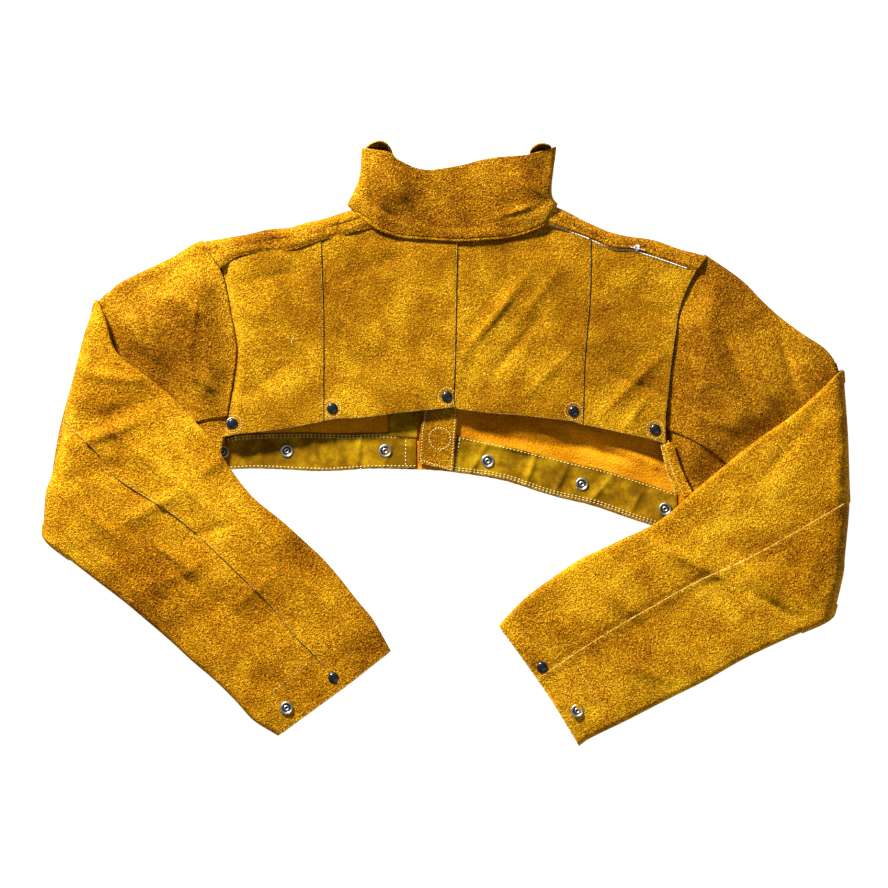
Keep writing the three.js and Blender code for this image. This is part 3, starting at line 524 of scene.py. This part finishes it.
def yoke_place(seam, ridge, front, radius):
    def place(u, v):
        base, crest, foot = seam(u), ridge(u), front(u)
        out = (crest - base).normalized()
        if v < RIDGE_START:
            spot = base.lerp(crest - radius * out, v / RIDGE_START)
            lift = YOKE_TOP - 2.2 * smooth(v, 0.22, 0) + rumple(spot.x, spot.y, (), 1.2, 9)
            return spot.x, spot.y, lift - YOKE_SINK * smooth(v, 0.2, RIDGE_START)
        if v < RIDGE_END:
            angle = math.pi * (v - RIDGE_START) / RIDGE_SPAN
            swell = 1 + 0.18 * noise.noise((crest.x / 30, crest.y / 30, 4))
            spot = crest - radius * out * (1 - math.sin(angle) * swell)
            drop = radius * (1 - math.cos(angle))
            return (spot.x, spot.y,
                    YOKE_TOP - YOKE_SINK - drop + 0.4 * rumple(crest.x, crest.y, (), 1, 9))
        spot = (crest - radius * out).lerp(foot, (v - RIDGE_END) / FRONT_SPAN)
        return spot.x, spot.y, YOKE_TOP - YOKE_SINK - 2 * radius
    return place


for side, seam, ridge, front in [
    ("left",
     line((-84, 263), (-119, 255), (-149, 247), (-182, 236), (-209, 233), (-230, 232), (-250, 227),
          (-268, 214)),
     line((-96, 290), (-149, 273), (-185, 264), (-221, 259), (-251, 252), (-291, 246)),
     line((-104, 262), (-190, 236), (-284, 203))),
    ("right",
     line((122, 269), (151, 259), (175, 250), (202, 238), (223, 237), (244, 231), (271, 222),
          (303, 211)),
     line((134, 288), (163, 274), (193, 261), (223, 253), (252, 248), (283, 238), (316, 229)),
     line((128, 262), (215, 232), (308, 201))),
]:
    piece = leather(f"yoke_{side}", yoke_place(seam, ridge, front, 11.2), stations(60, 195),
                    evenly(34), DARK_SKINS)
    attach(piece, "torso")
    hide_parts(f"yoke_{side}")
    if side == "right":
        on_shoulder = lying_on(piece, *back_panels)
        edge = beside(seam, -0.5)
        stitches("shoulder_thread", [(lambda share: edge(0.02 + 0.92 * share), 170)],
                 lambda x, y: (on_shoulder(x, y) or 23) + 0.6, "torso", white_thread, pitch=3.6,
                 length=5.6, girth=0.8)
        stitches("shoulder_tuft",
                 [(circle(231, 239, 2.6), 16), (circle(233, 241, 1.2), 8),
                  (line((224, 240), (242, 236)), 14)],
                 lambda x, y: (on_shoulder(x, y) or 23) + 1.0, "torso", white_thread, pitch=2.2,
                 length=4.4, girth=0.5)
        fleck = lying_on(back_panels[0])
        stitches("loose_thread", [(line((-181, 131), (-183, 127), (-182, 124)), 7)], fleck, "torso",
                 white_thread,
                 pitch=2.2, length=2.8, girth=0.35)

# ---- Fronts and their facings --------------------------------------------------------------
# Below the back's hem the inner side of both fronts shows: the russet split side, faced along
# the hem with smooth olive leather, stitched with pale thread, and the snaps' rings on it.
olive, shader, where = finish("olive smooth leather", 0.7)
shader.inputs["Specular IOR Level"].default_value = 0.04
clouds, crease, grain = where.noise(26, 3), where.noise(90, 4, 0.6), where.noise(700, 2)
tone = 0.5 + (clouds - 0.5) * 0.9 + (crease - 0.5) * 0.55 + (grain - 0.5) * 0.3
tone.ramp([(0.18, (0.05, 0.021, 0.0002)), (0.5, (0.205, 0.097, 0.0006)),
           (0.85, (0.56, 0.33, 0.004))]).feed(shader, "Base Color")
(crease + grain * 0.4).bump(0.3, 0.0012).feed(shader, "Normal")
OLIVE_SKINS = (olive, olive, raw_edge_and_highlight)

front_folds = [(60, 24, 150, 10, 8, 4.0), (120, 34, 236, 2, 10, 4.0), (40, 36, 110, 26, 7, 2.6),
               (170, 14, 250, -22, 7, 3.0), (150, -5, 250, -30, 8, 2.6), (40, 5, 120, -8, 7, 2.2),
               (-230, 25, -120, 30, 8, 2.0), (215, 0, 268, -30, 9, 4.0)]
hem_line_left = line((-284, -28), (-221, -26), (-146, -29), (-86, -26), (-40, -27), (7, -28))
hem_line_right = line((-27, -27), (8, -30), (70, -40), (128, -58), (180, -71), (236, -90),
                      (291, -105))


def hem_y(x):
    """The hem's place at x: level on the left front, and falling away on the right one."""
    return -28 - 0.27 * max(x - 10, 0)


def over_tab(x):
    """How far the right front is lifted where it lies over the tab."""
    return 4.2 * smooth(x, 42, 12)


def front_height(x, y):
    """The inner face: near the surface, and raised along the hem over the snaps' caps."""
    raised = 2.8 * smooth(y - hem_y(x), 78, 50)
    return 1.9 + raised + max(rumple(x, y, front_folds, 0.8, 4.0) + 0.9, -0.15) * smooth(y, 160, 60)


def right_front_height(x, y):
    return front_height(x, y) + over_tab(x)


front_left_plan = between(hem_line_left,
                          line((-287, 202), (-190, 236), (-94, 266), (-60, 257), (7, 250)),
                          line((-284, -28), (-287, 202)), line((7, -28), (7, 250)))
front_right_plan = between(hem_line_right,
                           line((-27, 250), (16, 250), (60, 254), (104, 264), (122, 269),
                                (215, 232), (312, 199)),
                           line((-27, -27), (-27, 250)), line((291, -105), (302, 50), (312, 199)))
for name, plan, height, area in [("front_left", front_left_plan, front_height, 0.075),
                                 ("front_right", front_right_plan, right_front_height, 0.100)]:
    piece = flat_panel(name, plan, (310, 285), lambda x, y, u, v, h=height: h(x, y) - LEATHER,
                       SUEDE_SKINS, outside_up=False, cell=4.5)
    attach(piece, "torso")
    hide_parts(name)

band_left_top = line((-262, 11), (-239, 15), (-176, 17), (-116, 16), (-67, 17), (-33, 16))
band_left_foot = line((-262, -27), (-221, -25), (-146, -28), (-86, -25), (-33, -25))
band_right_top = line((9, 15), (70, 2), (143, -16), (204, -31), (280, -56))
band_right_foot = line((7, -29), (70, -38), (128, -57), (180, -69), (236, -89), (280, -102))
band_folds = [(-225, 16, -218, -26, 5, 1.3), (-160, 16, -150, -26, 6, 1.2),
              (-100, 16, -104, -26, 5, 1.4), (-60, 10, -75, -26, 5, 1.2), (52, 4, 30, -34, 6, 1.6),
              (112, -6, 96, -50, 6, 1.8), (150, -20, 132, -56, 5, 1.6),
              (204, -34, 170, -70, 6, 1.6), (240, -46, 222, -84, 5, 1.3)]


def band_height(x, y):
    lift = over_tab(x) if x > 0 else 0
    return front_height(x, y) + 1.3 + lift + max(rumple(x, y, band_folds, 0.4, 6.0), 0)


for name, foot, top, wide in [("hem_band_left", band_left_foot, band_left_top, 220),
                              ("hem_band_right", band_right_foot, band_right_top, 276)]:
    plan = between(foot, top, line(foot(0), top(0)), line(foot(1), top(1)))
    piece = flat_panel(name, plan, (wide, 43), lambda x, y, u, v: band_height(x, y), OLIVE_SKINS,
                       thick=1.0, cell=2.2, cut=("v0",))
    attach(piece, "torso")
    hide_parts(name)
    wide / 1000
    "front_left" if "left" in name else "front_right"
    seams = [(beside(top, -2.2), wide), (beside(foot, 2.2), wide)]
    if name == "hem_band_left":
        seams.append((beside(top, -5.2), wide))
        seams.append((line((-46, 13), (-46, -23)), 36))
    else:
        seams.append((beside(foot, 5.0), wide))
        seams.append((line((19, 10), (13, -27)), 38))
    stitches(f"{name}_stitches", seams, lying_on(piece), "torso")

facing_plan = between(line((-66, 13), (-32, 11)), line((-66, 238), (-32, 236)),
                      line((-66, 13), (-66, 238)),
                      line((-32, 11), (-32, 236)))
piece = flat_panel("placket_facing", facing_plan, (34, 225), lambda x, y, u,
                   v: front_height(x, y) + 2.8,
                   OLIVE_SKINS, thick=1.0)
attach(piece, "torso")
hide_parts("placket_facing")

TAB_Z = 14.2
tab_left = line((-31, -19), (-28, 20), (-25, 44), (-26, 120), (-27, 236))
tab_right = line((11, -29), (14, 10), (16, 46), (12, 120), (11, 236))
tab_plan = between(line((-31, -19), (11, -29)), line((-27, 236), (11, 236)), tab_left, tab_right)


def tab_height(x, y):
    return TAB_Z + rumple(x, y, (), 0.5, 12)


piece = flat_panel("placket_tab", tab_plan, (38, 262), lambda x, y, u, v: tab_height(x, y),
                   BRUSHED_SKINS, cell=2.6, cut=("v0",))
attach(piece, "torso")
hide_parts("placket_tab")
stitches("placket_tab_stitches",
         [(beside(tab_left, -2.6), 260), (beside(tab_right, 2.6), 260),
          (line((-28, -16), (6, -26)), 36),
          (circle(-5, 10, 12.8), 80)], lying_on(piece), "torso", pitch=3.4, length=2.5, girth=0.5)

for i, run in enumerate([line((259, 6), (263, -12), (267, -30), (277, -56)),
                         line((263, 4), (269, -14), (275, -32), (288, -60))], 1):
    plan = between(line(run(0), run(0) + Vector((11, 2))), line(run(1), run(1) + Vector((11, 4))),
                   run,
                   lambda share, run=run: run(share) + Vector((11, 2 + 2 * share)))
    piece = flat_panel(f"side_seam_allowance_{i}", plan, (11, 64), lambda x, y, u, v,
                       i=i: 19.5 + 1.5 * u + 2.2 * i,
                       SUEDE_SKINS, cell=2.0, cut=("u0",))
    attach(piece, "torso")

for i in range(1, 7):
    low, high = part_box(f"hem_socket_{i}")
    x, y = (low.x + high.x) / 2 / MM, (low.y + high.y) / 2 / MM
    seat = band_height(x, y) if i > 1 else front_height(x, y) + 0.2
    fitting(f"hem_socket_{i}", "ring", True, "torso", z=seat + 0.1)
    fitting(f"hem_cap_{i}", "cap", False, "torso", z=front_height(x, y) - LEATHER)
for i in (1, 2):
    fitting(f"closure_cap_{i}", "cap", False, "torso")
    for part in ("socket", "stud"):
        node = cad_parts[f"closure_{part}_{i}"]
        for slot in node.material_slots:
            slot.material = nickel

# ---- Sleeves, upper half -------------------------------------------------------------------
# Each upper arm is a flattened tube of suede. Its upper layer shows from the armhole to the
# folded forearm, with soft creases that fan out from the underarm; a gusset fills the underarm.


LOWEST = 1.9


def rolled(name, top, columns, rows, skins, rolls, fold_steps=9, cut=()):
    """An upper layer of leather whose sides can roll under. top(u, v) is its face in
    millimetres; rolls gives, for the sides u0, u1, v0 and v1, a radius and a tuck."""
    def side(first, last, shares):
        out = []
        if first:
            radius, tuck = first
            out += [(0.0, math.pi, -tuck, radius),
                    *((0.0, math.pi * (1 - k / fold_steps), 0.0, radius)
                                                    for k in range(fold_steps))]
        out += [(s, 0.0, 0.0, 0.0) for s in shares]
        if last:
            radius, tuck = last
            out += [*((1.0, math.pi * (k + 1) / fold_steps, 0.0,
                       radius) for k in range(fold_steps)),
                    (1.0, math.pi, -tuck, radius)]
        return out
    us = side(rolls.get("u0"), rolls.get("u1"), columns)
    vs = side(rolls.get("v0"), rolls.get("v1"), rows)

    def place(column, row):
        (u, turn_u, tuck_u, radius_u), (v, turn_v, tuck_v, radius_v) = column, row
        spot = Vector(top(u, v))
        step = 0.02
        ahead_u = Vector(top(min(u + step, 1), v)) - Vector(top(max(u - step, 0), v))
        ahead_v = Vector(top(u, min(v + step, 1))) - Vector(top(u, max(v - step, 0)))
        ahead_u.z = ahead_v.z = 0
        ahead_u.normalize()
        ahead_v.normalize()
        out_u, out_v = math.sin(turn_u), math.sin(turn_v)
        both = math.hypot(out_u, out_v)
        if both > 1:
            out_u, out_v = out_u / both, out_v / both
        drop_u, drop_v = radius_u * (1 - math.cos(turn_u)), radius_v * (1 - math.cos(turn_v))
        drop = (drop_u ** 4 + drop_v ** 4) ** 0.25
        shift = ((radius_u * out_u + tuck_u) * ahead_u * (1 if u > 0.5 else -1)
                 + (radius_v * out_v + tuck_v) * ahead_v * (1 if v > 0.5 else -1))
        return spot.x + shift.x, spot.y + shift.y, max(spot.z - drop, LOWEST)
    return leather(name, place, us, vs, skins, cut=cut)


def edged(count, length, first, last):
    """Even shares along a side, with one narrow step at either end that has a cut edge."""
    steps = count - first - last
    low, high = first / length, 1 - last / length
    return [0.0] * first + [low + (high - low) * k / steps for k in range(steps + 1)] + [1.0] * last


ARM_Z = 20.3
ARM_RISE = 11.5
ARM_RADIUS = 8.6
arms = {
    "left": dict(
        outline=line((-419, 178), (-401, 193), (-380, 203), (-359, 212), (-329, 225), (-305, 239),
                     (-289, 246)),
        crease=line((-478, -100), (-469, -16), (-461, 32), (-449, 80), (-436, 128), (-419, 178)),
        armhole=line((-263, 30), (-256, 70), (-251, 104), (-252, 128), (-258, 164), (-266, 206),
                     (-286, 244)),
        gusset_seam=line((-478, -92), (-400, -30), (-317, 26), (-287, 37), (-257, 42)),
        underarm=line((-478, -106), (-400, -78), (-310, -50), (-268, -24), (-264, -8), (-262, 4)),
        forearm_edge=((-419, 176), (-394, 109), (-335, 62), (-278, 2), (-254, -34)),
        folds=[(-262, 60, -318, 96, 7, 2.4), (-262, 86, -330, 150, 9, 2.0),
               (-300, 50, -345, 88, 7, -2.2), (-356, 166, -340, 116, 6, 2.6),
               (-270, 150, -350, 190, 12, 2.4), (-330, 90, -395, 130, 9, -2.6),
               (-296, 180, -306, 110, 8, 1.8), (-380, 120, -400, 180, 9, 2.2),
               (-270, 40, -330, 60, 5, 1.6)]),
    "right": dict(
        outline=line((482, 88), (478, 99), (468, 112), (455, 122), (437, 133), (410, 152),
                     (389, 170), (359, 198), (313, 229)),
        crease=line((462, -186), (482, -110), (487, -64), (487, -30), (486, 8), (482, 88)),
        armhole=line((266, 8), (267, 40), (270, 70), (275, 110), (282, 160), (292, 188),
                     (310, 226)),
        gusset_seam=line((460, -172), (420, -90), (349, -16), (307, 17), (267, 36)),
        underarm=line((460, -192), (380, -146), (305, -90), (292, -52), (280, -20), (268, 4)),
        forearm_edge=((484, 92), (412, 30), (355, -11), (295, -60), (250, -96)),
        folds=[(275, 60, 340, 84, 8, 2.0), (285, 110, 350, 60, 8, 2.2), (300, 170, 346, 70, 9, 2.4),
               (330, 150, 372, 44, 8, -2.4), (400, 146, 424, 66, 15, -5.6),
               (430, 116, 466, 92, 9, 2.6), (300, 40, 352, 20, 6, 2.0),
               (356, 120, 400, 40, 9, 2.2)]),
}


def away_from(points, x, y):
    """Distance on the plan from a chain of straight lines, more than 0 on the shoulder's side."""
    best = None
    for (ax, ay), (bx, by) in zip(points, points[1:]):
        dx, dy = bx - ax, by - ay
        t = min(max(((x - ax) * dx + (y - ay) * dy) / (dx * dx + dy * dy), 0), 1)
        gap = math.hypot(x - ax - t * dx, y - ay - t * dy)
        sign = 1 if dx * (y - ay) - dy * (x - ax) > 0 else -1
        if best is None or gap < abs(best):
            best = gap * sign
    return best


for side, lay in arms.items():
    across = 1 if side == "left" else -1

    def arm_height(x, y, u, v, lay=lay, across=across):
        clear = across * away_from(lay["forearm_edge"], x, y)
        rise = smooth(clear, -3, 46) * smooth(u, 1.0, 0.83) * (1 - 0.85 * smooth(v, 0.76, 1.0))
        return ARM_Z + (ARM_RISE + rumple(x, y, lay["folds"], 1.7, 14)) * rise

    plan = between(lay["gusset_seam"], beside(lay["outline"], -ARM_RADIUS * across),
                   beside(lay["crease"], -(ARM_RADIUS + 4) * across), lay["armhole"])

    def arm_top(u, v, plan=plan, height=arm_height):
        spot = plan(u, v)
        return spot.x, spot.y, height(spot.x, spot.y, u, v) + 1.2 * smooth(v, 0.1, 0)
    # The upper layer runs from the crease (u 0) to the armhole (u 1).
    piece = rolled(f"arm_back_{side}", arm_top, evenly(84), evenly(80), DARK_SKINS,
                   {"u0": (ARM_RADIUS, 6), "v1": (ARM_RADIUS, 14)})
    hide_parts(f"arm_back_{side}")
    -0.262 * across
    -0.352 * across
    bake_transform(piece)

    gusset_plan = between(beside(lay["underarm"], ARM_RADIUS * across),
                          beside(lay["gusset_seam"], 5 * across),
                          line(lay["underarm"](0), lay["gusset_seam"](0)),
                          line(lay["underarm"](1), lay["gusset_seam"](1)))

    def gusset_top(u, v, plan=gusset_plan, height=arm_height):
        spot = plan(u, v)
        return (spot.x, spot.y,
                height(spot.x, spot.y, u, 1 - v) - 1.6 + 0.5 * rumple(spot.x, spot.y, (), 1.6, 21))
    piece = rolled(f"gusset_{side}", gusset_top, evenly(60), evenly(20), DARK_SKINS,
                   {"v0": (ARM_RADIUS, 12)})
    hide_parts(f"gusset_{side}")
    -0.262 * across
    -0.352 * across
    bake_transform(piece)

    under_plan = between(beside(lay["underarm"], 5 * across), beside(lay["outline"], -6 * across),
                         beside(lay["crease"], -16 * across), lay["armhole"])

    def under_height(x, y, u, v):
        return 1.6 + 1.2 * smooth(u, 0.25, 0.08) + 0.2 * (1 + noise.noise((x / 30, y / 30, 3)))
    piece = flat_panel(f"arm_front_{side}", under_plan, (240, 290), under_height, DARK_SKINS,
                       outside_up=False, cell=6)
    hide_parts(f"arm_front_{side}")
    -0.262 * across
    -0.352 * across
    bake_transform(piece)

# ---- Forearms ------------------------------------------------------------------------------
# Each forearm is folded over at the elbow, so that its upper layer is the leather that runs
# round the crease from underneath. One lapped seam runs along it to the cuff, which has a snap.
forearms = {
    "left": dict(
        inner=line((-419, 176), (-406, 144), (-394, 109), (-365, 86), (-335, 62), (-305, 32),
                   (-278, 2), (-254, -34), (-229, -64), (-199, -88), (-172, -112), (-146, -136),
                   (-125, -160), (-106, -184), (-86, -208), (-64, -246)),
        outer=line((-481, -118), (-456, -136), (-424, -160), (-391, -184), (-361, -208),
                   (-332, -232), (-305, -256), (-276, -280), (-251, -304), (-228, -328),
                   (-197, -347)),
        crease=line((-419, 176), (-436, 128), (-449, 80), (-461, 32), (-463, 8), (-469, -16),
                    (-474, -40), (-480, -64), (-481, -118)),
        cuff=line((-64, -246), (-122, -291), (-197, -347)),
        seam=line((-444, 14), (-416, -13), (-394, -41), (-330, -82), (-292, -113), (-242, -160),
                  (-209, -192), (-182, -226), (-155, -253), (-122, -291)),
        crease_seam=0.52, stitch_row=line((-160, -257), (-206, -294)),
        folds=[(-442, 88, -352, 78, 10, 3.4), (-462, 16, -344, 58, 9, -5.6),
               (-455, -4, -360, 34, 8, 3.6), (-450, -40, -390, -20, 12, -3.2),
               (-420, -60, -240, -225, 13, -3.6), (-440, -110, -300, -236, 14, 2.4),
               (-380, -90, -310, -50, 12, 2.8), (-350, -170, -290, -140, 12, 2.8),
               (-330, -120, -250, -90, 10, -2.6), (-260, -200, -200, -150, 11, 2.6),
               (-300, -40, -250, 0, 10, 2.6), (-428, 130, -408, 92, 7, -2.4),
               (-400, 20, -330, -40, 9, 2.4), (-330, -30, -270, -90, 9, 2.6),
               (-360, -110, -300, -150, 10, 2.6), (-280, -180, -230, -220, 12, -2.4),
               (-250, -70, -200, -130, 9, 2.0), (-450, -60, -380, -120, 14, 2.4),
               (-180, -150, -130, -200, 8, 1.8),
               (-240, -240, -190, -280, 10, 2.0)]),
    "right": dict(
        inner=line((479, 92), (448, 60), (412, 30), (385, 12), (355, -11), (319, -40), (295, -60),
                   (274, -79), (250, -96), (215, -112), (190, -124), (164, -136), (128, -160),
                   (96, -184), (65, -216)),
        outer=line((464, -214), (414, -234), (365, -256), (320, -280), (269, -304), (220, -328),
                   (175, -349), (162, -358)),
        crease=line((479, 92), (482, 60), (486, 10), (488, -40), (489, -64), (487, -88),
                    (484, -112), (481, -136), (478, -160), (464, -214)),
        cuff=line((65, -216), (118, -286), (162, -358)),
        seam=line((470, -84), (420, -112), (364, -142), (305, -168), (256, -194), (194, -229),
                  (131, -269), (112, -282)),
        crease_seam=0.50, stitch_row=line((160, -262), (186, -308)),
        folds=[(240, -110, 335, -158, 10, 4.6), (296, -84, 366, -139, 8, -4.6),
               (352, -130, 414, -200, 10, 4.4), (366, -172, 436, -215, 8, -4.2),
               (440, 30, 380, -40, 12, -2.6), (470, 30, 474, -60, 9, 2.6),
               (410, -60, 452, -120, 9, -3.2), (180, -170, 250, -212, 11, 2.6),
               (120, -190, 170, -222, 9, -2.4), (330, -190, 380, -236, 9, 2.8),
               (210, -256, 270, -282, 10, 2.6), (140, -290, 180, -330, 8, 1.8)]),
}
FOREARM_SKINS = (gold_suede, gold_suede, raw_edge_and_highlight)
FOREARM_Z = 39.0
FOREARM_LEAST = 37.5
FOREARM_UNDER_Z = 22.9
ROLL = 7.2
WRAP = 18.6
for side, lay in forearms.items():
    turn = 1 if side == "left" else -1
    body = f"{side}_forearm"

    def forearm_height(x, y, lay=lay):
        return FOREARM_Z + rumple(x, y, lay["folds"], 1.6, 30) * 0.9

    crease_in = beside(lay["crease"], WRAP * turn)
    inner_in = beside(lay["inner"], -ROLL * turn)
    outer_in = beside(lay["outer"], ROLL * turn)

    def share_of(path, low, high):
        return lambda t: path(low + (high - low) * t)
    panels = [
        ("inner",
         between(share_of(crease_in, 0.04, lay["crease_seam"]), share_of(lay["cuff"], 0.03, 0.43),
                          share_of(inner_in, 0.035, 1),
                          beside(lay["seam"], (1.0 if side == "left" else -LAP) * turn)),
         {"v0": (WRAP, 22), "u0": (ROLL, 12)}),
        ("outer",
         between(share_of(crease_in, lay["crease_seam"], 0.985), share_of(lay["cuff"], 0.43, 0.97),
                          beside(lay["seam"], (LAP if side == "left" else -1.0) * turn),
                          share_of(outer_in, 0.02, 1)),
         {"v0": (WRAP, 22), "u1": (ROLL, 12)}),
    ]
    middle = lay["crease"](0.5)
    ahead = lay["crease"](0.6) - lay["crease"](0.4)
    outward = -turn * Vector((-ahead.y, ahead.x)).normalized()
    start = (middle + 5 * outward) * MM
    end = (middle - 25 * outward) * MM
    uppers = []
    for part, plan, rolls in panels:
        over = part == ("inner" if side == "left" else "outer")

        def top(u, v, plan=plan, part=part, over=over, height=forearm_height):
            spot = plan(u, v)
            from_seam = 1 - u if part == "inner" else u
            lap = (1.7 * smooth(from_seam, 0.12, 0.015) if over
                   else -0.9 * smooth(from_seam, 0.12, 0.05))
            z = height(spot.x, spot.y) + 2.3 * math.sin(math.pi * u) + lap - 2.4 * smooth(v, 0.9,
                                                                                          1.0)
            return spot.x, spot.y, max(z, FOREARM_LEAST)
        seam_side = "u1" if part == "inner" else "u0"
        piece = rolled(f"forearm_{part}_{side}", top,
                       edged(52, 110, over and part == "outer", over and part == "inner"),
                       edged(120, 420, False, True),
                       FOREARM_SKINS, rolls, fold_steps=10,
                       cut=(seam_side, "v1") if over else ("v1",))
        uppers.append(piece)
        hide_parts(f"forearm_{part}_{side}")
        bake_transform(piece)
    low_plan = between(share_of(beside(lay["crease"], 8 * turn), 0.04, 0.97),
                       share_of(lay["cuff"], 0.03, 0.97),
                       beside(lay["inner"], -5 * turn), beside(lay["outer"], 5 * turn))
    piece = flat_panel(f"forearm_under_{side}", low_plan, (230, 480),
                       lambda x, y, u, v: FOREARM_UNDER_Z + 0.25 * noise.noise((x / 30, y / 30, 5)),
                       SUEDE_SKINS,
                       outside_up=False, cell=6)
    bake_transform(piece)

    on_cuff = lying_on(*uppers)
    for node, kind, up in [(f"cuff_cap_{side}", "cap", True), (f"cuff_stud_{side}", "ring", True),
                           (f"cuff_socket_{side}", "ring", False)]:
        low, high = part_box(node)
        seat = on_cuff((low.x + high.x) / 2 / MM, (low.y + high.y) / 2 / MM)
        fitting(node, kind, up, body, z=seat + (0.1 if up else -LEATHER - 0.2))
    stitches(f"cuff_stitches_{side}", [(lay["stitch_row"], 58)], on_cuff, body, length=2.6,
             girth=0.36)
    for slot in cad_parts[f"cuff_stud_back_{side}"].material_slots:
        slot.material = nickel

# ---- Collar --------------------------------------------------------------------------------
# A stand-up collar of two layers, lying flat: the outer layer shows, its ends turn under, and
# the corners of its free edge curl up into small scrolls.
collar_base = line((-113, 286), (-90, 267), (-70, 257), (-48, 252), (-17, 250), (17, 248),
                   (41, 249), (77, 252), (104, 259), (124, 269), (135, 286))
collar_rim = line((-93, 358), (-67, 354), (-56, 345), (-24, 333), (19, 338), (43, 344), (68, 348),
                  (103, 351), (130, 358))
collar_left = line((-113, 286), (-98, 319), (-94, 358))
collar_right = line((135, 286), (128, 300), (130, 358))
collar_folds = [(-90, 313, -83, 289, 5, -2.6), (-83, 289, -46, 269, 5, -2.4),
                (-70, 330, -40, 290, 8, 2.2), (60, 275, 110, 290, 7, 2.0),
                (90, 320, 120, 300, 7, 2.0), (-10, 262, 90, 264, 5, -1.4)]


COLLAR_Z = 26


def collar_height(x, y):
    """Rises from the neck seam to the rim, more towards both corners, with a seam's ridge."""
    crowns = math.exp(-((x + 66) / 27) ** 2) + math.exp(-((x - 98) / 30) ** 2)
    rise = 5 * smooth(y, 276, 330) + 8.5 * crowns * smooth(y, 258, 312)
    band = 1.6 * math.exp(-((y - 258 - 0.0024 * (x - 17) ** 2) / 6) ** 2)
    return COLLAR_Z + rise + band + rumple(x, y, collar_folds, 1.4, 40)


collar_plan = between(collar_base, collar_rim, beside(collar_left, -7), beside(collar_right, 7))


def collar_top(u, v):
    spot = collar_plan(u, v)
    return spot.x, spot.y, collar_height(spot.x, spot.y) - 3.8 * smooth(v, 0.08, 0)


piece = rolled("collar", collar_top, evenly(110), evenly(52), DARK_SKINS,
               {"u0": (9, 20), "u1": (9, 20)})
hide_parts("collar")
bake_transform(piece)


def lining_place(u, v):
    spot = collar_plan(0.02 + 0.96 * u, v * 0.985)
    return spot.x, spot.y, collar_height(spot.x, spot.y) - 2.6 - 2.0 * smooth(abs(u - 0.5), 0.42,
                                                                              0.5)


piece = leather("collar_lining", lining_place, evenly(70), evenly(30),
                (russet_split, gold_suede, raw_edge_and_highlight),
                outside_up=False)
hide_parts("collar_lining")
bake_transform(piece)

collar_front_plan = between(line((-106, 284), (-60, 262), (17, 254), (80, 262), (126, 284)),
                            line((-90, 355), (-50, 338), (17, 330), (80, 340), (124, 352)),
                            line((-106, 284), (-90, 355)), line((126, 284), (124, 352)))
piece = flat_panel("collar_front", collar_front_plan, (230, 85),
                   lambda x, y, u, v: 2.2 + 0.5 * noise.noise((x / 30, y / 30, 2)), SUEDE_SKINS,
                   outside_up=False, cell=5)
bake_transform(piece)

for name, start, end, crown in [("collar_scroll_left", (-95, 356), (-62, 346), 15.5),
                                ("collar_scroll_right", (103, 351), (130, 358), 8.5)]:
    def scroll(u, v, start=Vector(start), end=Vector(end), crown=crown):
        """A tongue that stands up behind the rim: its free edge bows round a hollow, dark from its own
        shade and from the painted shade of its upper face.
        """
        chord = end - start
        upward = Vector((-chord.y, chord.x)).normalized()
        bow = math.sin(math.pi * (0.04 + 0.92 * u)) ** 0.6
        spot = (start + chord * (0.5 + (u - 0.5) * (1.0 - 0.12 * v))
                + upward * (crown * bow * v - 3.0 * (1 - v)))
        return spot.x, spot.y, 31 - 6 * math.sin(math.pi * v) * bow + 10.5 * v * bow
    # The upper face, inside the hollow, takes the near-black russet: painted shade.
    piece = leather(name, scroll, evenly(26), evenly(18), (russet_painted_shade, gold_suede, gold_suede),
                    thick=2.0)
    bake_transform(piece)
    (0.034, 0.022) if "left" in name else (0.028, 0.016)

# ---- Floor, light and camera ---------------------------------------------------------------
# A plain pale floor, a lamp from beyond the collar on the left, and a weak, broad fill.
paper, shader, where = finish("pale floor", 0.95)
shader.inputs["Base Color"].default_value = (0.3, 0.3, 0.3, 1)
shader.inputs["Emission Color"].default_value = (1, 1, 1, 1)
shader.inputs["Emission Strength"].default_value = 0.95
sheet_maker = bmesh.new()
bmesh.ops.create_grid(sheet_maker, x_segments=1, y_segments=1, size=3)
floor = made_of(sheet_maker, [paper], "floor")
floor.location.z = -0.0005


def lamp(name, where, size, power, colour=(1, 1, 1)):
    light = bpy.data.lights.new(name, "AREA")
    light.size, light.energy, light.color = size, power, colour
    holder = bpy.data.objects.new(name, light)
    holder.location = where
    holder.rotation_euler = (-Vector(where)).to_track_quat("-Z", "Y").to_euler()
    scene.collection.objects.link(holder)


lamp("key", (-1.6, 2.4, 1.5), 0.4, 345)
lamp("fill", (1.2, -1.6, 2.2), 2.0, 16)
world = bpy.data.worlds.new("room")
world.use_nodes = True
world.node_tree.nodes["Background"].inputs["Color"].default_value = (1, 1, 1, 1)
world.node_tree.nodes["Background"].inputs["Strength"].default_value = 0.14
scene.world = world
scene.view_settings.view_transform = "Standard"

camera = bpy.data.cameras.new("camera")
camera.type = "ORTHO"
camera.ortho_scale = 1.0656
camera.clip_end = 10
holder = bpy.data.objects.new("camera", camera)
holder.location = (0.0, 0.00354, 3.0)
scene.collection.objects.link(holder)
scene.camera = holder
